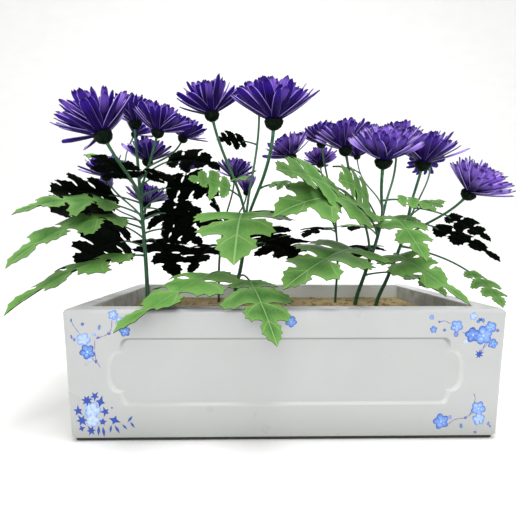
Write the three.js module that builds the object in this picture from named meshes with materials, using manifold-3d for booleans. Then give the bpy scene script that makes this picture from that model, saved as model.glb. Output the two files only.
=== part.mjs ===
// A potted aster: three clumps of double violet asters with deeply cut, chrysanthemum-like
// leaves, rooted in potting soil in a long glazed ceramic trough.
//
// Millimetres, +Z up. The origin is the centre of the trough's flat foot; X runs along the
// trough and -Y is its front. Every leafy stem is one body that stands in a plain hole in the
// soil, and every bloom sits on the green cup at the end of its stalk.

import * as THREE from 'three';
import { mergeVertices } from 'three/addons/utils/BufferGeometryUtils.js';
import Module from 'manifold-3d';

const wasm = await Module();
wasm.setup();

// Driving dimensions of the trough, measured at the rim unless said otherwise.
const TROUGH_LENGTH = 400;
const TROUGH_WIDTH = 230;
const TROUGH_HEIGHT = 121;
const DRAFT = 5; // how far each outer wall leans in between rim and foot
const WALL = 19;
const FLOOR = 14;
const CORNER_RADIUS = 5;
const RIM_ROUND = 4;
const FOOT_HEIGHT = 3.2; // a dark recessed foot under the glazed body
const FOOT_INSET = 2.4;

// The soil and what stands in it.
const SOIL_DROP = 18; // soil surface below the rim
const SOIL_LEVEL = TROUGH_HEIGHT - SOIL_DROP;
const SOIL_ROUGHNESS = 1.6;
const ROOT_DEPTH = 45; // length of stem below the soil surface
const CLEARANCE = 0.3; // between separate pieces that touch

// Greenery.
const BLADE_THICKNESS = 0.8;
const PETIOLE_THICKNESS = 1.8;
const STALK_SHARE = 0.017; // shares of the bloom's diameter: the radius of its stalk,
const CUP_WIDTH = 0.175; // and the width and height of the green cup under it
const CUP_HEIGHT = 0.11;

const UP = new THREE.Vector3(0, 0, 1);

// Solids: closed meshes to manifold-3d and back.

function solidFrom(geometry) {
  const bare = new THREE.BufferGeometry();
  bare.setAttribute('position', geometry.getAttribute('position'));
  bare.setIndex(geometry.index);
  const merged = mergeVertices(bare, 1e-4);
  return new wasm.Manifold(new wasm.Mesh({
    numProp: 3,
    vertProperties: merged.getAttribute('position').array,
    triVerts: new Uint32Array(merged.index.array),
  }));
}

function geometryFrom(solid) {
  const mesh = solid.getMesh();
  const geometry = new THREE.BufferGeometry();
  geometry.setAttribute('position', new THREE.BufferAttribute(mesh.vertProperties, mesh.numProp));
  geometry.setIndex(new THREE.BufferAttribute(mesh.triVerts, 1));
  return geometry;
}

function indexed(points, faces) {
  const geometry = new THREE.BufferGeometry().setFromPoints(points);
  geometry.setIndex(faces.flat());
  return geometry;
}

// A closed skin through a list of rings, each counter-clockwise seen from the end of the list.
// The first and the last ring are capped flat.
function loft(rings) {
  const count = rings[0].length;
  const faces = [];
  for (let row = 0; row + 1 < rings.length; row++) {
    for (let i = 0; i < count; i++) {
      const next = (i + 1) % count;
      const [a, b] = [row * count + i, row * count + next];
      faces.push([a, b, b + count], [a, b + count, a + count]);
    }
  }
  const last = (rings.length - 1) * count;
  for (let i = 1; i + 1 < count; i++) {
    faces.push([0, i + 1, i], [last, last + i, last + i + 1]);
  }
  return indexed(rings.flat(), faces);
}

// A round rod through the given points, with a radius at each of them.
function rod(points, radii, sides) {
  let across = new THREE.Vector3(1, 0, 0);
  const rings = points.map((point, i) => {
    const before = points[Math.max(i - 1, 0)];
    const after = points[Math.min(i + 1, points.length - 1)];
    const along = after.clone().sub(before).normalize();
    if (i === 0 && Math.abs(along.x) > 0.9) across = new THREE.Vector3(0, 1, 0);
    across = across.clone().addScaledVector(along, -across.dot(along)).normalize();
    const up = along.clone().cross(across);
    return Array.from({ length: sides }, (_, side) => {
      const angle = (side / sides) * 2 * Math.PI;
      return point.clone()
        .addScaledVector(across, radii[i] * Math.cos(angle))
        .addScaledVector(up, radii[i] * Math.sin(angle));
    });
  });
  return loft(rings);
}

// The same small random numbers on every run.
function seededRandom(seed) {
  let state = seed;
  return () => {
    state = (state * 1664525 + 1013904223) % 4294967296;
    return state / 4294967296;
  };
}

// The trough: one glazed casting with a rounded rim and a recessed panel in each side.

// A rectangle with round corners, `inset` mm inside the rim's outline, at height z.
function troughRing(z, inset, radius) {
  const x = TROUGH_LENGTH / 2 - inset;
  const y = TROUGH_WIDTH / 2 - inset;
  const steps = 3;
  const ring = [];
  [[1, 1], [-1, 1], [-1, -1], [1, -1]].forEach(([sx, sy], corner) => {
    for (let step = 0; step <= steps; step++) {
      const angle = (corner + step / steps) * (Math.PI / 2);
      const across = sx * (x - radius) + radius * Math.cos(angle);
      const deep = sy * (y - radius) + radius * Math.sin(angle);
      ring.push(new THREE.Vector3(across, deep, z));
    }
  });
  return ring;
}

function leanAt(z) {
  return DRAFT * (1 - z / TROUGH_HEIGHT);
}

// The inside of the trough, from its floor up to z, drawn in by `gap` on every side.
function hollowRings(top, gap) {
  const radius = CORNER_RADIUS - 2;
  return [FLOOR + gap, top].map((z) => troughRing(z, WALL + leanAt(z) + gap, radius));
}

// A panel outline whose four corners step in with two curves that meet in a cusp.
function panelShape(width, height) {
  const long = 28 * Math.min(1, height / 64);
  const short = 18;
  const cusp = 11.5;
  const [x, y] = [width / 2, height / 2];
  const shape = new THREE.Shape();
  shape.moveTo(-x + short, -y);
  for (const [sx, sy] of [[1, -1], [1, 1], [-1, 1], [-1, -1]]) {
    const corner = (dx, dy) => [sx * (x - dx), sy * (y - dy)];
    const flank = [corner(short, 0), corner(cusp, 0), corner(cusp, cusp)];
    const side = [corner(cusp, cusp), corner(0, cusp), corner(0, long)];
    const curves = sx * sy < 0 ? [flank, side] : [side.reverse(), flank.reverse()];
    shape.lineTo(...curves[0][0]);
    for (const [, control, end] of curves) shape.quadraticCurveTo(...control, ...end);
  }
  shape.closePath();
  return shape;
}

// What is cut out of a wall for its panel: a shallow sunk field with a sloped border.
function panelCutter(width, height, turn, distance) {
  const sunk = 2.6;
  const border = 3;
  const outside = 6;
  const geometry = new THREE.ExtrudeGeometry(panelShape(width - 2 * border, height - 2 * border), {
    depth: outside,
    curveSegments: 3,
    bevelThickness: sunk,
    bevelSize: border,
    bevelSegments: 1,
  });
  const lean = Math.atan(DRAFT / TROUGH_HEIGHT);
  const centre = TROUGH_HEIGHT * 0.53;
  geometry.rotateX(Math.PI / 2 + lean);
  geometry.translate(0, -(distance - leanAt(centre)), centre);
  geometry.rotateZ(turn);
  return solidFrom(geometry);
}

function makeTrough() {
  const shoulder = RIM_ROUND;
  const rings = [
    troughRing(0, DRAFT + FOOT_INSET, CORNER_RADIUS),
    troughRing(FOOT_HEIGHT, DRAFT + FOOT_INSET, CORNER_RADIUS),
    troughRing(FOOT_HEIGHT, DRAFT + 1, CORNER_RADIUS),
    troughRing(FOOT_HEIGHT + 1.5, leanAt(FOOT_HEIGHT), CORNER_RADIUS),
    troughRing(TROUGH_HEIGHT - shoulder, leanAt(TROUGH_HEIGHT - shoulder), CORNER_RADIUS),
    troughRing(TROUGH_HEIGHT - shoulder * 0.3, shoulder * 0.3, CORNER_RADIUS),
    troughRing(TROUGH_HEIGHT, shoulder, CORNER_RADIUS),
    ...hollowRings(TROUGH_HEIGHT, 0).reverse(),
  ];
  let body = solidFrom(loft(rings));
  const panelHeight = 63;
  for (const [width, turn, distance] of [
    [322, 0, TROUGH_WIDTH / 2],
    [322, Math.PI, TROUGH_WIDTH / 2],
    [152, Math.PI / 2, TROUGH_LENGTH / 2],
    [152, -Math.PI / 2, TROUGH_LENGTH / 2],
  ]) {
    body = body.subtract(panelCutter(width, panelHeight, turn, distance));
  }
  return body;
}

// The soil: a block that fills the trough, with an uneven top and a hole for each stem.
function makeSoil(stems) {
  const [columns, rows] = [14, 7];
  const random = seededRandom(11);
  const width = TROUGH_LENGTH;
  const depth = TROUGH_WIDTH;
  const surface = new THREE.BoxGeometry(width, depth, SOIL_LEVEL, columns, rows, 1);
  surface.translate(0, 0, SOIL_LEVEL / 2);
  const at = surface.getAttribute('position');
  const bumps = new Map();
  for (let i = 0; i < at.count; i++) {
    if (at.getZ(i) < SOIL_LEVEL - 1) continue;
    const spot = `${Math.round(at.getX(i))},${Math.round(at.getY(i))}`;
    if (!bumps.has(spot)) bumps.set(spot, (random() - 0.5) * 2 * SOIL_ROUGHNESS);
    at.setZ(i, SOIL_LEVEL + bumps.get(spot));
  }
  const hollow = solidFrom(loft(hollowRings(TROUGH_HEIGHT, CLEARANCE)));
  let soil = hollow.intersect(solidFrom(surface));
  for (const stem of stems) {
    const radii = stem.radii.map((radius) => radius + CLEARANCE + 0.1);
    const points = stem.points.filter((p) => p.z < SOIL_LEVEL + 60);
    points[0] = points[0].clone().setZ(points[0].z - CLEARANCE);
    soil = soil.subtract(solidFrom(rod(points, radii, stem.sides)));
  }
  return soil;
}

// A leaf: the outline of its right half, one row for each stretch of the midrib. The first
// number of a point runs along the midrib, from -1 at the stem over 0 at the foot of the blade
// to 1 at the tip. The second is how far out it is, as a share of the blade's length. Each row
// starts at its notch, level with a point of the midrib, and goes round its lobe.
const LEAF_ROWS = [
  [[-1, 0.014]],
  [[0, 0.02], [0.04, 0.11], [0.13, 0.28]],
  [[0.27, 0.1], [0.31, 0.34], [0.38, 0.46], [0.47, 0.37]],
  [[0.51, 0.13], [0.6, 0.27], [0.69, 0.27]],
  [[0.75, 0.09], [0.87, 0.12]],
];

// The flat pattern of a leaf: its points, its triangles, and its rim in order. Each stretch
// has two triangles beside the midrib and a fan over its lobe.
function leafPattern() {
  const points = LEAF_ROWS.map(([[along]]) => [along, 0]);
  const tip = points.push([1, 0]) - 1;
  const faces = [];
  const edges = [1, -1].map((side) => {
    const edge = LEAF_ROWS.map((row) => row.map(([along, out]) => points.push([along, side * out]) - 1));
    edge.forEach((lobe, rib) => {
      const notch = rib + 1 < edge.length ? edge[rib + 1][0] : tip;
      const row = [[rib, notch, lobe[0]]];
      if (notch !== tip) row.push([rib, rib + 1, notch]);
      for (let i = 1; i < lobe.length; i++) row.push([notch, lobe[i], lobe[i - 1]]);
      faces.push(...row.map((face) => (side > 0 ? face : face.reverse())));
    });
    return edge.flat();
  });
  const rim = [0, ...edges[1], tip, ...edges[0].reverse()];
  return { points, faces, rim };
}

const LEAF = leafPattern();

// A leaf on its petiole. It leaves `root`, rises in an arch and comes down to `tip`. Both
// faces are triangulated alike, so that the blade is equally thick wherever it waves.
function makeLeaf(root, { tip, arch, bow = 0, roll = 0, blade = 0.72, width = 1 }) {
  const end = new THREE.Vector3(...tip);
  const beside = end.clone().sub(root).cross(UP).normalize();
  const middle = root.clone().lerp(end, 0.5);
  middle.addScaledVector(UP, arch * 2).addScaledVector(beside, bow * 2);
  const curve = new THREE.QuadraticBezierCurve3(root, middle, end);
  const bladeLength = curve.getLength() * blade;
  const place = ([along, out], face) => {
    const share = 1 - blade + along * (along < 0 ? 1 - blade : blade);
    const forward = curve.getTangent(share);
    const side = forward.clone().cross(UP).normalize();
    side.applyAxisAngle(forward, THREE.MathUtils.degToRad(roll));
    const normal = side.clone().cross(forward);
    const fold = (0.16 * Math.abs(out) - 0.5 * out * out) * bladeLength;
    const thickness = along > 0 ? BLADE_THICKNESS : PETIOLE_THICKNESS;
    return curve.getPoint(share)
      .addScaledVector(side, out * bladeLength * width)
      .addScaledVector(normal, fold + face * thickness / 2);
  };
  const count = LEAF.points.length;
  const points = [1, -1].flatMap((face) => LEAF.points.map((p) => place(p, face)));
  const faces = [
    ...LEAF.faces.map(([a, b, c]) => [a, c, b]),
    ...LEAF.faces.map(([a, b, c]) => [a + count, b + count, c + count]),
  ];
  LEAF.rim.forEach((a, i) => {
    const b = LEAF.rim[(i + 1) % LEAF.rim.length];
    faces.push([a, b, b + count], [a, b + count, a + count]);
  });
  return indexed(points, faces);
}

// A leafy stem: the main stem, a stalk with a green cup for each bloom, and the leaves.

function direction([azimuth, tilt]) {
  const around = THREE.MathUtils.degToRad(azimuth);
  const off = THREE.MathUtils.degToRad(tilt);
  return new THREE.Vector3(
    Math.sin(off) * Math.cos(around),
    Math.sin(off) * Math.sin(around),
    Math.cos(off),
  );
}

// The point at a height on a rising chain of points, and the way the chain runs there.
function atHeight(points, height) {
  const last = points.length - 1;
  let i = 1;
  while (i < last && points[i].z < height) i++;
  const [below, above] = [points[i - 1], points[i]];
  const share = (height - below.z) / (above.z - below.z);
  return { point: below.clone().lerp(above, share), along: above.clone().sub(below).normalize() };
}

function mainStem({ foot, way, radius }) {
  const [x, y] = foot;
  const curve = new THREE.CatmullRomCurve3([
    new THREE.Vector3(x, y, SOIL_LEVEL - ROOT_DEPTH),
    new THREE.Vector3(x, y, SOIL_LEVEL),
    ...way.map((p) => new THREE.Vector3(...p)),
  ]);
  const steps = 2 + way.length * 2;
  const points = curve.getPoints(steps);
  const radii = points.map((_, i) => radius * (1 - 0.35 * (i / steps)));
  return { points, radii, sides: 5 };
}

// The stalk leaves the stem the way the stem grows and arrives along the bloom's own axis.
function stalkParts(stem, { from, seat, lean, size }) {
  const { point: start, along } = atHeight(stem.points, from);
  const end = new THREE.Vector3(...seat);
  const axis = direction(lean);
  const reach = start.distanceTo(end);
  const curve = new THREE.CubicBezierCurve3(
    start,
    start.clone().addScaledVector(along, reach * 0.3),
    end.clone().addScaledVector(axis, -reach * 0.4),
    end,
  );
  const cupHeight = size * CUP_HEIGHT;
  const cupRadius = (size * CUP_WIDTH) / 2;
  const neck = 1 - cupHeight / curve.getLength();
  const points = [0, 0.55, 1].map((part) => curve.getPoint(part * neck));
  const radii = points.map(() => Math.max(size * STALK_SHARE, 0.95));
  for (const [rise, spread] of [[0.45, 0.92], [1, 1]]) {
    points.push(end.clone().addScaledVector(axis, -cupHeight * (1 - rise)));
    radii.push(cupRadius * spread);
  }
  return { points, geometry: rod(points, radii, 5) };
}

function makeLeafyStem(plant, stem) {
  const pieces = [rod(stem.points, stem.radii, stem.sides)];
  const stalks = new Map();
  for (const bloom of plant.blooms) {
    const stalk = stalkParts(stem, bloom);
    stalks.set(bloom.number, stalk.points);
    pieces.push(stalk.geometry);
  }
  for (const leaf of plant.leaves) {
    const carrier = leaf.on ? stalks.get(leaf.on) : stem.points;
    pieces.push(makeLeaf(atHeight(carrier, leaf.from).point, leaf));
  }
  return wasm.Manifold.union(pieces.map(solidFrom));
}

// A bloom: every face of a small dome is drawn out into one three-sided petal, so that the
// petals stand in three layers and the whole bloom is one closed skin.
function makeBloom({ size, open = 1, petals = 8 }, seed) {
  const random = seededRandom(seed);
  const reach = size / 2;
  const coreRadius = size * 0.082;
  const circle = (radius, z, shift) => Array.from({ length: petals }, (_, i) => {
    const angle = ((i + shift) / petals) * 2 * Math.PI;
    return new THREE.Vector3(radius * Math.cos(angle), radius * Math.sin(angle), z);
  });
  const points = [
    ...circle(coreRadius, 0, 0),
    ...circle(coreRadius * 0.9, size * 0.05, 0.5),
    new THREE.Vector3(0, 0, size * 0.09),
  ];
  const [low, high, top] = [0, petals, 2 * petals];
  const faces = [];
  for (let i = 1; i + 1 < petals; i++) faces.push([low, low + i + 1, low + i]);

  // Each layer: how steeply its petals rise, how long they are, how far their tips curl up,
  // and which way the middle corner of the three-sided petal stands out.
  const layers = [
    { rise: 20, length: 1, curl: 0.08, ridge: 1, stations: [0.4, 0.82] },
    { rise: 39, length: 0.94, curl: 0.05, ridge: -1, stations: [0.75] },
    { rise: 62, length: 0.74, curl: 0.03, ridge: 1, stations: [0.72] },
  ];
  const growPetal = (face, layer) => {
    const middle = face.reduce((sum, id) => sum.add(points[id]), new THREE.Vector3()).divideScalar(3);
    const around = Math.atan2(middle.y, middle.x);
    const rise = THREE.MathUtils.degToRad(
      90 - (90 - layer.rise) * open + (random() - 0.5) * 10,
    );
    const outward = new THREE.Vector3(Math.cos(around), Math.sin(around), 0);
    const across = new THREE.Vector3(-Math.sin(around), Math.cos(around), 0);
    const along = outward.clone().multiplyScalar(Math.cos(rise)).addScaledVector(UP, Math.sin(rise));
    const upper = along.clone().cross(across);
    const length = reach * layer.length * (0.94 + 0.12 * random()) - middle.length();
    const halfWidth = size * 0.058;
    const ridgeHeight = Math.max(0.9, size * 0.013);
    const centreAt = (share) => middle.clone()
      .addScaledVector(along, length * share)
      .addScaledVector(upper, reach * layer.curl * share * share);
    let ring = face;
    for (const share of layer.stations) {
      const centre = centreAt(share);
      const left = centre.clone().addScaledVector(across, -halfWidth);
      const right = centre.clone().addScaledVector(across, halfWidth);
      const spine = centre.clone().addScaledVector(upper, ridgeHeight * layer.ridge);
      const corners = layer.ridge > 0 ? [left, right, spine] : [spine, right, left];
      const next = corners.map((corner) => points.push(corner) - 1);
      ring.forEach((id, i) => {
        const j = (i + 1) % 3;
        faces.push([id, ring[j], next[j]], [id, next[j], next[i]]);
      });
      ring = next;
    }
    const tip = points.push(centreAt(1)) - 1;
    ring.forEach((id, i) => faces.push([id, ring[(i + 1) % 3], tip]));
  };
  for (let i = 0; i < petals; i++) {
    const next = (i + 1) % petals;
    growPetal([low + i, low + next, high + i], layers[0]);
    growPetal([low + next, high + next, high + i], layers[1]);
    growPetal([high + i, high + next, top], layers[2]);
  }
  return indexed(points, faces);
}

// The layout, measured from the picture. Heights and positions in millimetres; a lean is the
// azimuth and the tilt in degrees; `from` is the height where a stalk or a leaf leaves its
// stem, or the stalk it is `on`.
const PLANTS = [
  {
    name: 'leafy_stem_left',
    foot: [-155, 0],
    radius: 2.7,
    way: [[-158, 0, 172], [-163, 1, 232], [-167, 2, 282]],
    blooms: [
      { number: 1, from: 222, seat: [-170, -95, 281], lean: [180, 26], size: 92 },
      { number: 2, from: 276, seat: [-171, 8, 325], lean: [0, 4], size: 80 },
      { number: 3, from: 226, seat: [-131, -45, 299], lean: [0, 10], size: 72 },
      { number: 4, from: 214, seat: [-199, 98, 338], lean: [0, 30], size: 56, petals: 7 },
      { number: 5, from: 250, seat: [-124, 64, 324], lean: [0, 20], size: 72 },
      { number: 6, from: 234, seat: [-170, 57, 291], lean: [0, 2], size: 76 },
      { number: 7, from: 204, seat: [-203, 0, 260], lean: [190, 14], size: 62 },
      { number: 8, from: 192, seat: [-227, 62, 249], lean: [160, 20], size: 50, open: 0.6, petals: 7 },
      { number: 9, from: 186, seat: [-180, 85, 238], lean: [0, 6], size: 72 },
      { number: 10, from: 206, seat: [-124, 95, 288], lean: [0, 10], size: 52, petals: 7 },
    ],
    leaves: [
      { from: 214, tip: [-276, -60, 209], arch: 16, roll: -20, blade: 0.8, width: 0.75 },
      { from: 206, tip: [-264, -90, 156], arch: 22, roll: -12, blade: 0.82, width: 0.75 },
      { from: 166, tip: [-253, -110, 115], arch: 16, roll: 0, blade: 0.86, width: 0.62 },
      { from: 268, tip: [-262, 86, 302], arch: 5, width: 0.6 },
      { from: 240, tip: [-186, -74, 266], arch: 6 },
      { from: 246, tip: [-116, -30, 252], arch: 8, roll: -15 },
      { from: 256, tip: [-72, 40, 275], arch: 20, roll: -8, blade: 0.68, width: 1.1 },
      { from: 236, tip: [-74, 45, 243], arch: 12, roll: -24, blade: 0.7, width: 1.15 },
      { from: 208, tip: [-87, 25, 200], arch: 14, roll: -34, blade: 0.72, width: 1.1 },
      { from: 228, tip: [-276, 15, 244], arch: 6, roll: 25 },
      { from: 198, tip: [-300, 60, 223], arch: 6, roll: 30 },
      { from: 186, tip: [-252, 40, 198], arch: 14, roll: 40 },
      { from: 176, tip: [-256, 40, 150], arch: 18, roll: 40 },
      { from: 192, tip: [-94, 30, 178], arch: 12, roll: -40 },
      { from: 222, tip: [-122, 92, 200], arch: 10, roll: -20, width: 1.1 },
      { from: 182, tip: [-142, 92, 132], arch: 22, width: 1.1 },
    ],
  },
  {
    name: 'leafy_stem_middle_thin',
    foot: [-75, 48],
    radius: 1.8,
    way: [[-73, 40, 165], [-66, 46, 215]],
    blooms: [
      { number: 14, from: 208, seat: [-55, 70, 272], lean: [0, 4], size: 68 },
      { number: 15, from: 185, seat: [-38, 32, 247], lean: [90, 6], size: 50, open: 0.5, petals: 7 },
    ],
    leaves: [
      { from: 134, tip: [-144, -143, 107], arch: 27, bow: -34, blade: 0.55, width: 0.72 },
      { from: 200, tip: [-88, 8, 252], arch: 4, roll: -35, blade: 0.66, width: 0.8 },
      { from: 212, tip: [-98, 122, 204], arch: 10, width: 1.1 },
      { from: 176, tip: [-122, 108, 136], arch: 18 },
      { from: 205, tip: [-22, 112, 196], arch: 12, width: 1.1 },
    ],
  },
  {
    name: 'leafy_stem_middle',
    foot: [-55, 10],
    radius: 2.7,
    way: [[-43, -6, 160], [-38, -10, 212]],
    blooms: [
      { number: 11, from: 198, seat: [-77, -20, 327], lean: [180, 10], size: 90 },
      { number: 12, from: 188, seat: [-11, -90, 297], lean: [-90, 10], size: 96 },
      { number: 13, from: 210, seat: [-22, 42, 356], lean: [90, 4], size: 82 },
    ],
    leaves: [
      { from: 205, tip: [-48, -108, 160], arch: 26, blade: 0.88, width: 1.15 },
      { from: 126, tip: [-11, -150, 97], arch: 34, bow: 5, blade: 0.46, width: 0.82 },
      { on: 11, from: 234, tip: [-102, -30, 251], arch: 6, roll: -50, blade: 0.8 },
      { on: 11, from: 252, tip: [-38, -62, 244], arch: 3, roll: 20, width: 0.7 },
      { on: 12, from: 238, tip: [18, -66, 234], arch: 6, roll: 25 },
      { on: 13, from: 305, tip: [-79, 60, 320], arch: 3, roll: 30, width: 0.8 },
      { from: 172, tip: [38, 76, 150], arch: 20, roll: -15 },
      { from: 186, tip: [4, 88, 168], arch: 20, roll: -10 },
    ],
  },
  {
    name: 'leafy_stem_right_thin',
    foot: [80, 48],
    radius: 1.8,
    way: [[82, 45, 160], [78, 42, 215]],
    blooms: [
      { number: 16, from: 186, seat: [13, -18, 280], lean: [180, 24], size: 66 },
      { number: 17, from: 210, seat: [60, 48, 314], lean: [180, 6], size: 70 },
      { number: 18, from: 196, seat: [68, 100, 298], lean: [90, 30], size: 60, petals: 7 },
    ],
    leaves: [
      { from: 196, tip: [46, 110, 190], arch: 10 },
    ],
  },
  {
    name: 'leafy_stem_right',
    foot: [100, 25],
    radius: 2.7,
    way: [[108, 10, 145], [118, 0, 184], [131, 8, 228]],
    blooms: [
      { number: 19, from: 150, seat: [76, -15, 290], lean: [180, 6], size: 84 },
      { number: 20, from: 196, seat: [92, -95, 259], lean: [-90, 20], size: 88 },
      { number: 21, from: 222, seat: [160, 50, 309], lean: [90, 4], size: 84 },
      { number: 24, from: 205, seat: [127, 118, 314], lean: [90, 14], size: 56, petals: 7 },
    ],
    leaves: [
      { from: 190, tip: [-13, -105, 204], arch: 29, bow: -16, roll: -36, blade: 0.75, width: 0.8 },
      { from: 202, tip: [59, -55, 246], arch: 14.4, roll: -68, blade: 0.7 },
      { from: 160, tip: [-4, -115, 139], arch: 24.7, bow: -16, roll: -14, blade: 0.6 },
      { from: 196, tip: [-9, -100, 248], arch: 16.4, roll: -44, blade: 0.56 },
      { from: 194, tip: [132, -100, 163], arch: 29.8, bow: 7.5, blade: 0.56 },
      { from: 142, tip: [172, -60, 125], arch: 11.6, bow: -13.3, blade: 0.66, width: 0.7 },
      { on: 20, from: 226, tip: [160, -62, 212], arch: 6, roll: 30, width: 0.8 },
      { on: 24, from: 285, tip: [96, 142, 302], arch: 4, roll: 0 },
      { from: 190, tip: [114, 98, 200], arch: 10 },
      { from: 172, tip: [116, 92, 158], arch: 12 },
    ],
  },
  {
    name: 'leafy_stem_right_outer',
    foot: [125, 20],
    radius: 2.6,
    way: [[136, 10, 140], [149, 0, 184], [157, -10, 235]],
    blooms: [
      { number: 22, from: 228, seat: [164, -20, 274], lean: [-70, 16], size: 96 },
      { number: 23, from: 190, seat: [213, 75, 297], lean: [80, 60], size: 64, petals: 7 },
      { number: 25, from: 176, seat: [195, -60, 234], lean: [-50, 38], size: 84 },
    ],
    leaves: [
      { from: 164, tip: [178, -95, 121], arch: 21.7, bow: 31.6, roll: 14, blade: 0.66, width: 0.85 },
      { from: 178, tip: [212, -90, 118], arch: 7, bow: -31, blade: 0.42, width: 0.6 },
      { on: 23, from: 224, tip: [277, 30, 184], arch: 8, roll: -25, blade: 0.6, width: 0.42 },
      { from: 208, tip: [256, -20, 160], arch: 8, roll: -25, width: 0.4 },
      { on: 23, from: 216, tip: [215, 30, 236], arch: 4, roll: 20, width: 0.7 },
    ],
  },
];

// Assembly.

function named(name, geometry, color, roughness) {
  const material = new THREE.MeshStandardMaterial({ color, roughness, metalness: 0 });
  const mesh = new THREE.Mesh(geometry, material);
  mesh.name = name;
  return mesh;
}

const aster = new THREE.Group();
aster.name = 'potted_aster';
const stems = PLANTS.map(mainStem);
aster.add(named('trough', geometryFrom(makeTrough()), 0xd8dada, 0.25));
aster.add(named('potting_soil', geometryFrom(makeSoil(stems)), 0x8f7a58, 0.95));
PLANTS.forEach((plant, i) => {
  aster.add(named(plant.name, geometryFrom(makeLeafyStem(plant, stems[i])), 0x4f9443, 0.6));
  for (const bloom of plant.blooms) {
    const geometry = makeBloom(bloom, 100 + bloom.number);
    const mesh = named(`bloom_${String(bloom.number).padStart(2, '0')}`, geometry, 0x6a3fc0, 0.6);
    const axis = direction(bloom.lean);
    mesh.quaternion.setFromUnitVectors(UP, axis);
    mesh.position.set(...bloom.seat).addScaledVector(axis, CLEARANCE);
    aster.add(mesh);
  }
});

export default aster;
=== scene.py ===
import math
import random

import bmesh
import bpy
import numpy as np
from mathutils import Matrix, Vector, geometry, noise


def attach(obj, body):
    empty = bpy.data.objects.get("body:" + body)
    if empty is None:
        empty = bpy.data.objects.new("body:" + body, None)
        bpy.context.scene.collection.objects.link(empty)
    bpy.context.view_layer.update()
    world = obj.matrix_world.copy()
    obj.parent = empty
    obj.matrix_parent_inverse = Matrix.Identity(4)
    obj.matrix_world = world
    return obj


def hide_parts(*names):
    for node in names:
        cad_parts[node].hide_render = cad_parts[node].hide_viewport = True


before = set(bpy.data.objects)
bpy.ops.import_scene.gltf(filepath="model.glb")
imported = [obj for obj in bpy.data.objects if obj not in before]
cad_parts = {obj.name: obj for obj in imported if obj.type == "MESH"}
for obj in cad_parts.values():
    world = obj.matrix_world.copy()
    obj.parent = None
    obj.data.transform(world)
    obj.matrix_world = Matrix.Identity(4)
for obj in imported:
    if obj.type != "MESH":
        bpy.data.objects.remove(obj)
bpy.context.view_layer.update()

# The studio: a pale paper sweep in even white light, with a low lamp in front of the trough, a
# stronger one overhead and one behind. The camera stands 330 mm from the trough's front, a
# little above its rim, and looks almost level.
tilt_down, roll, turn_right = 1.67, 0.13, 1.06
camera = bpy.data.objects.new("camera", bpy.data.cameras.new("camera"))
camera.data.lens = 25.94
camera.data.sensor_width = 36
camera.data.clip_start = 0.01
camera.location = (-0.0322, -0.4437, 0.1762)
camera.rotation_euler = [math.radians(angle) for angle in (90 - tilt_down, -roll, -turn_right)]
bpy.context.scene.collection.objects.link(camera)
bpy.context.scene.camera = camera


def linear(code):
    """The linear colour, with alpha, of an sRGB hex code."""
    parts = [int(code[i:i + 2], 16) / 255 for i in (1, 3, 5)]
    return [p / 12.92 if p <= 0.04045 else ((p + 0.055) / 1.055) ** 2.4 for p in parts] + [1.0]


def fill(tree, node, inputs):
    """Fills a node's inputs, each with a value, a hex colour, or what another node gives."""
    for socket, value in inputs.items():
        if isinstance(value, bpy.types.Node):
            value = next(output for output in value.outputs if output.enabled)
        if isinstance(value, bpy.types.NodeSocket):
            tree.links.new(value, node.inputs[socket])
        else:
            node.inputs[socket].default_value = linear(value) if isinstance(value, str) else value


def add_node(tree, kind, inputs=None, **settings):
    """Adds a node with its settings and its links."""
    node = tree.nodes.new("ShaderNode" + kind)
    for name, value in settings.items():
        setattr(node, name, value)
    fill(tree, node, inputs or {})
    return node


def new_material(name, roughness, ior=1.5, gloss=0.5):
    """A material, its node tree and its shader."""
    material = bpy.data.materials.new(name)
    material.use_nodes = True
    shader = material.node_tree.nodes["Principled BSDF"]
    shader.inputs["Roughness"].default_value = roughness
    shader.inputs["IOR"].default_value = ior
    shader.inputs["Specular IOR Level"].default_value = gloss
    return material, material.node_tree, shader


def add_lamp(name, place, aim, size, power):
    """A square studio light that faces a point of the object."""
    lamp = bpy.data.objects.new(name, bpy.data.lights.new(name, "AREA"))
    lamp.data.size = size
    lamp.data.energy = power
    lamp.location = place
    lamp.rotation_euler = (Vector(aim) - Vector(place)).to_track_quat("-Z", "Y").to_euler()
    bpy.context.scene.collection.objects.link(lamp)


add_lamp("key_light", (-0.15, -1.7, 0.75), (0, 0, 0.15), 0.9, 10)
add_lamp("top_light", (0.1, -0.2, 2.0), (0, 0, 0.1), 0.8, 24)
add_lamp("back_light", (0.3, 1.9, 1.2), (0, 0, 0.15), 1.2, 12)

world = bpy.data.worlds.new("studio_air")
world.use_nodes = True
world.node_tree.nodes["Background"].inputs["Color"].default_value = linear("#ffffff")
world.node_tree.nodes["Background"].inputs["Strength"].default_value = 0.85
bpy.context.scene.world = world
bpy.context.scene.view_settings.view_transform = "Standard"

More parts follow.
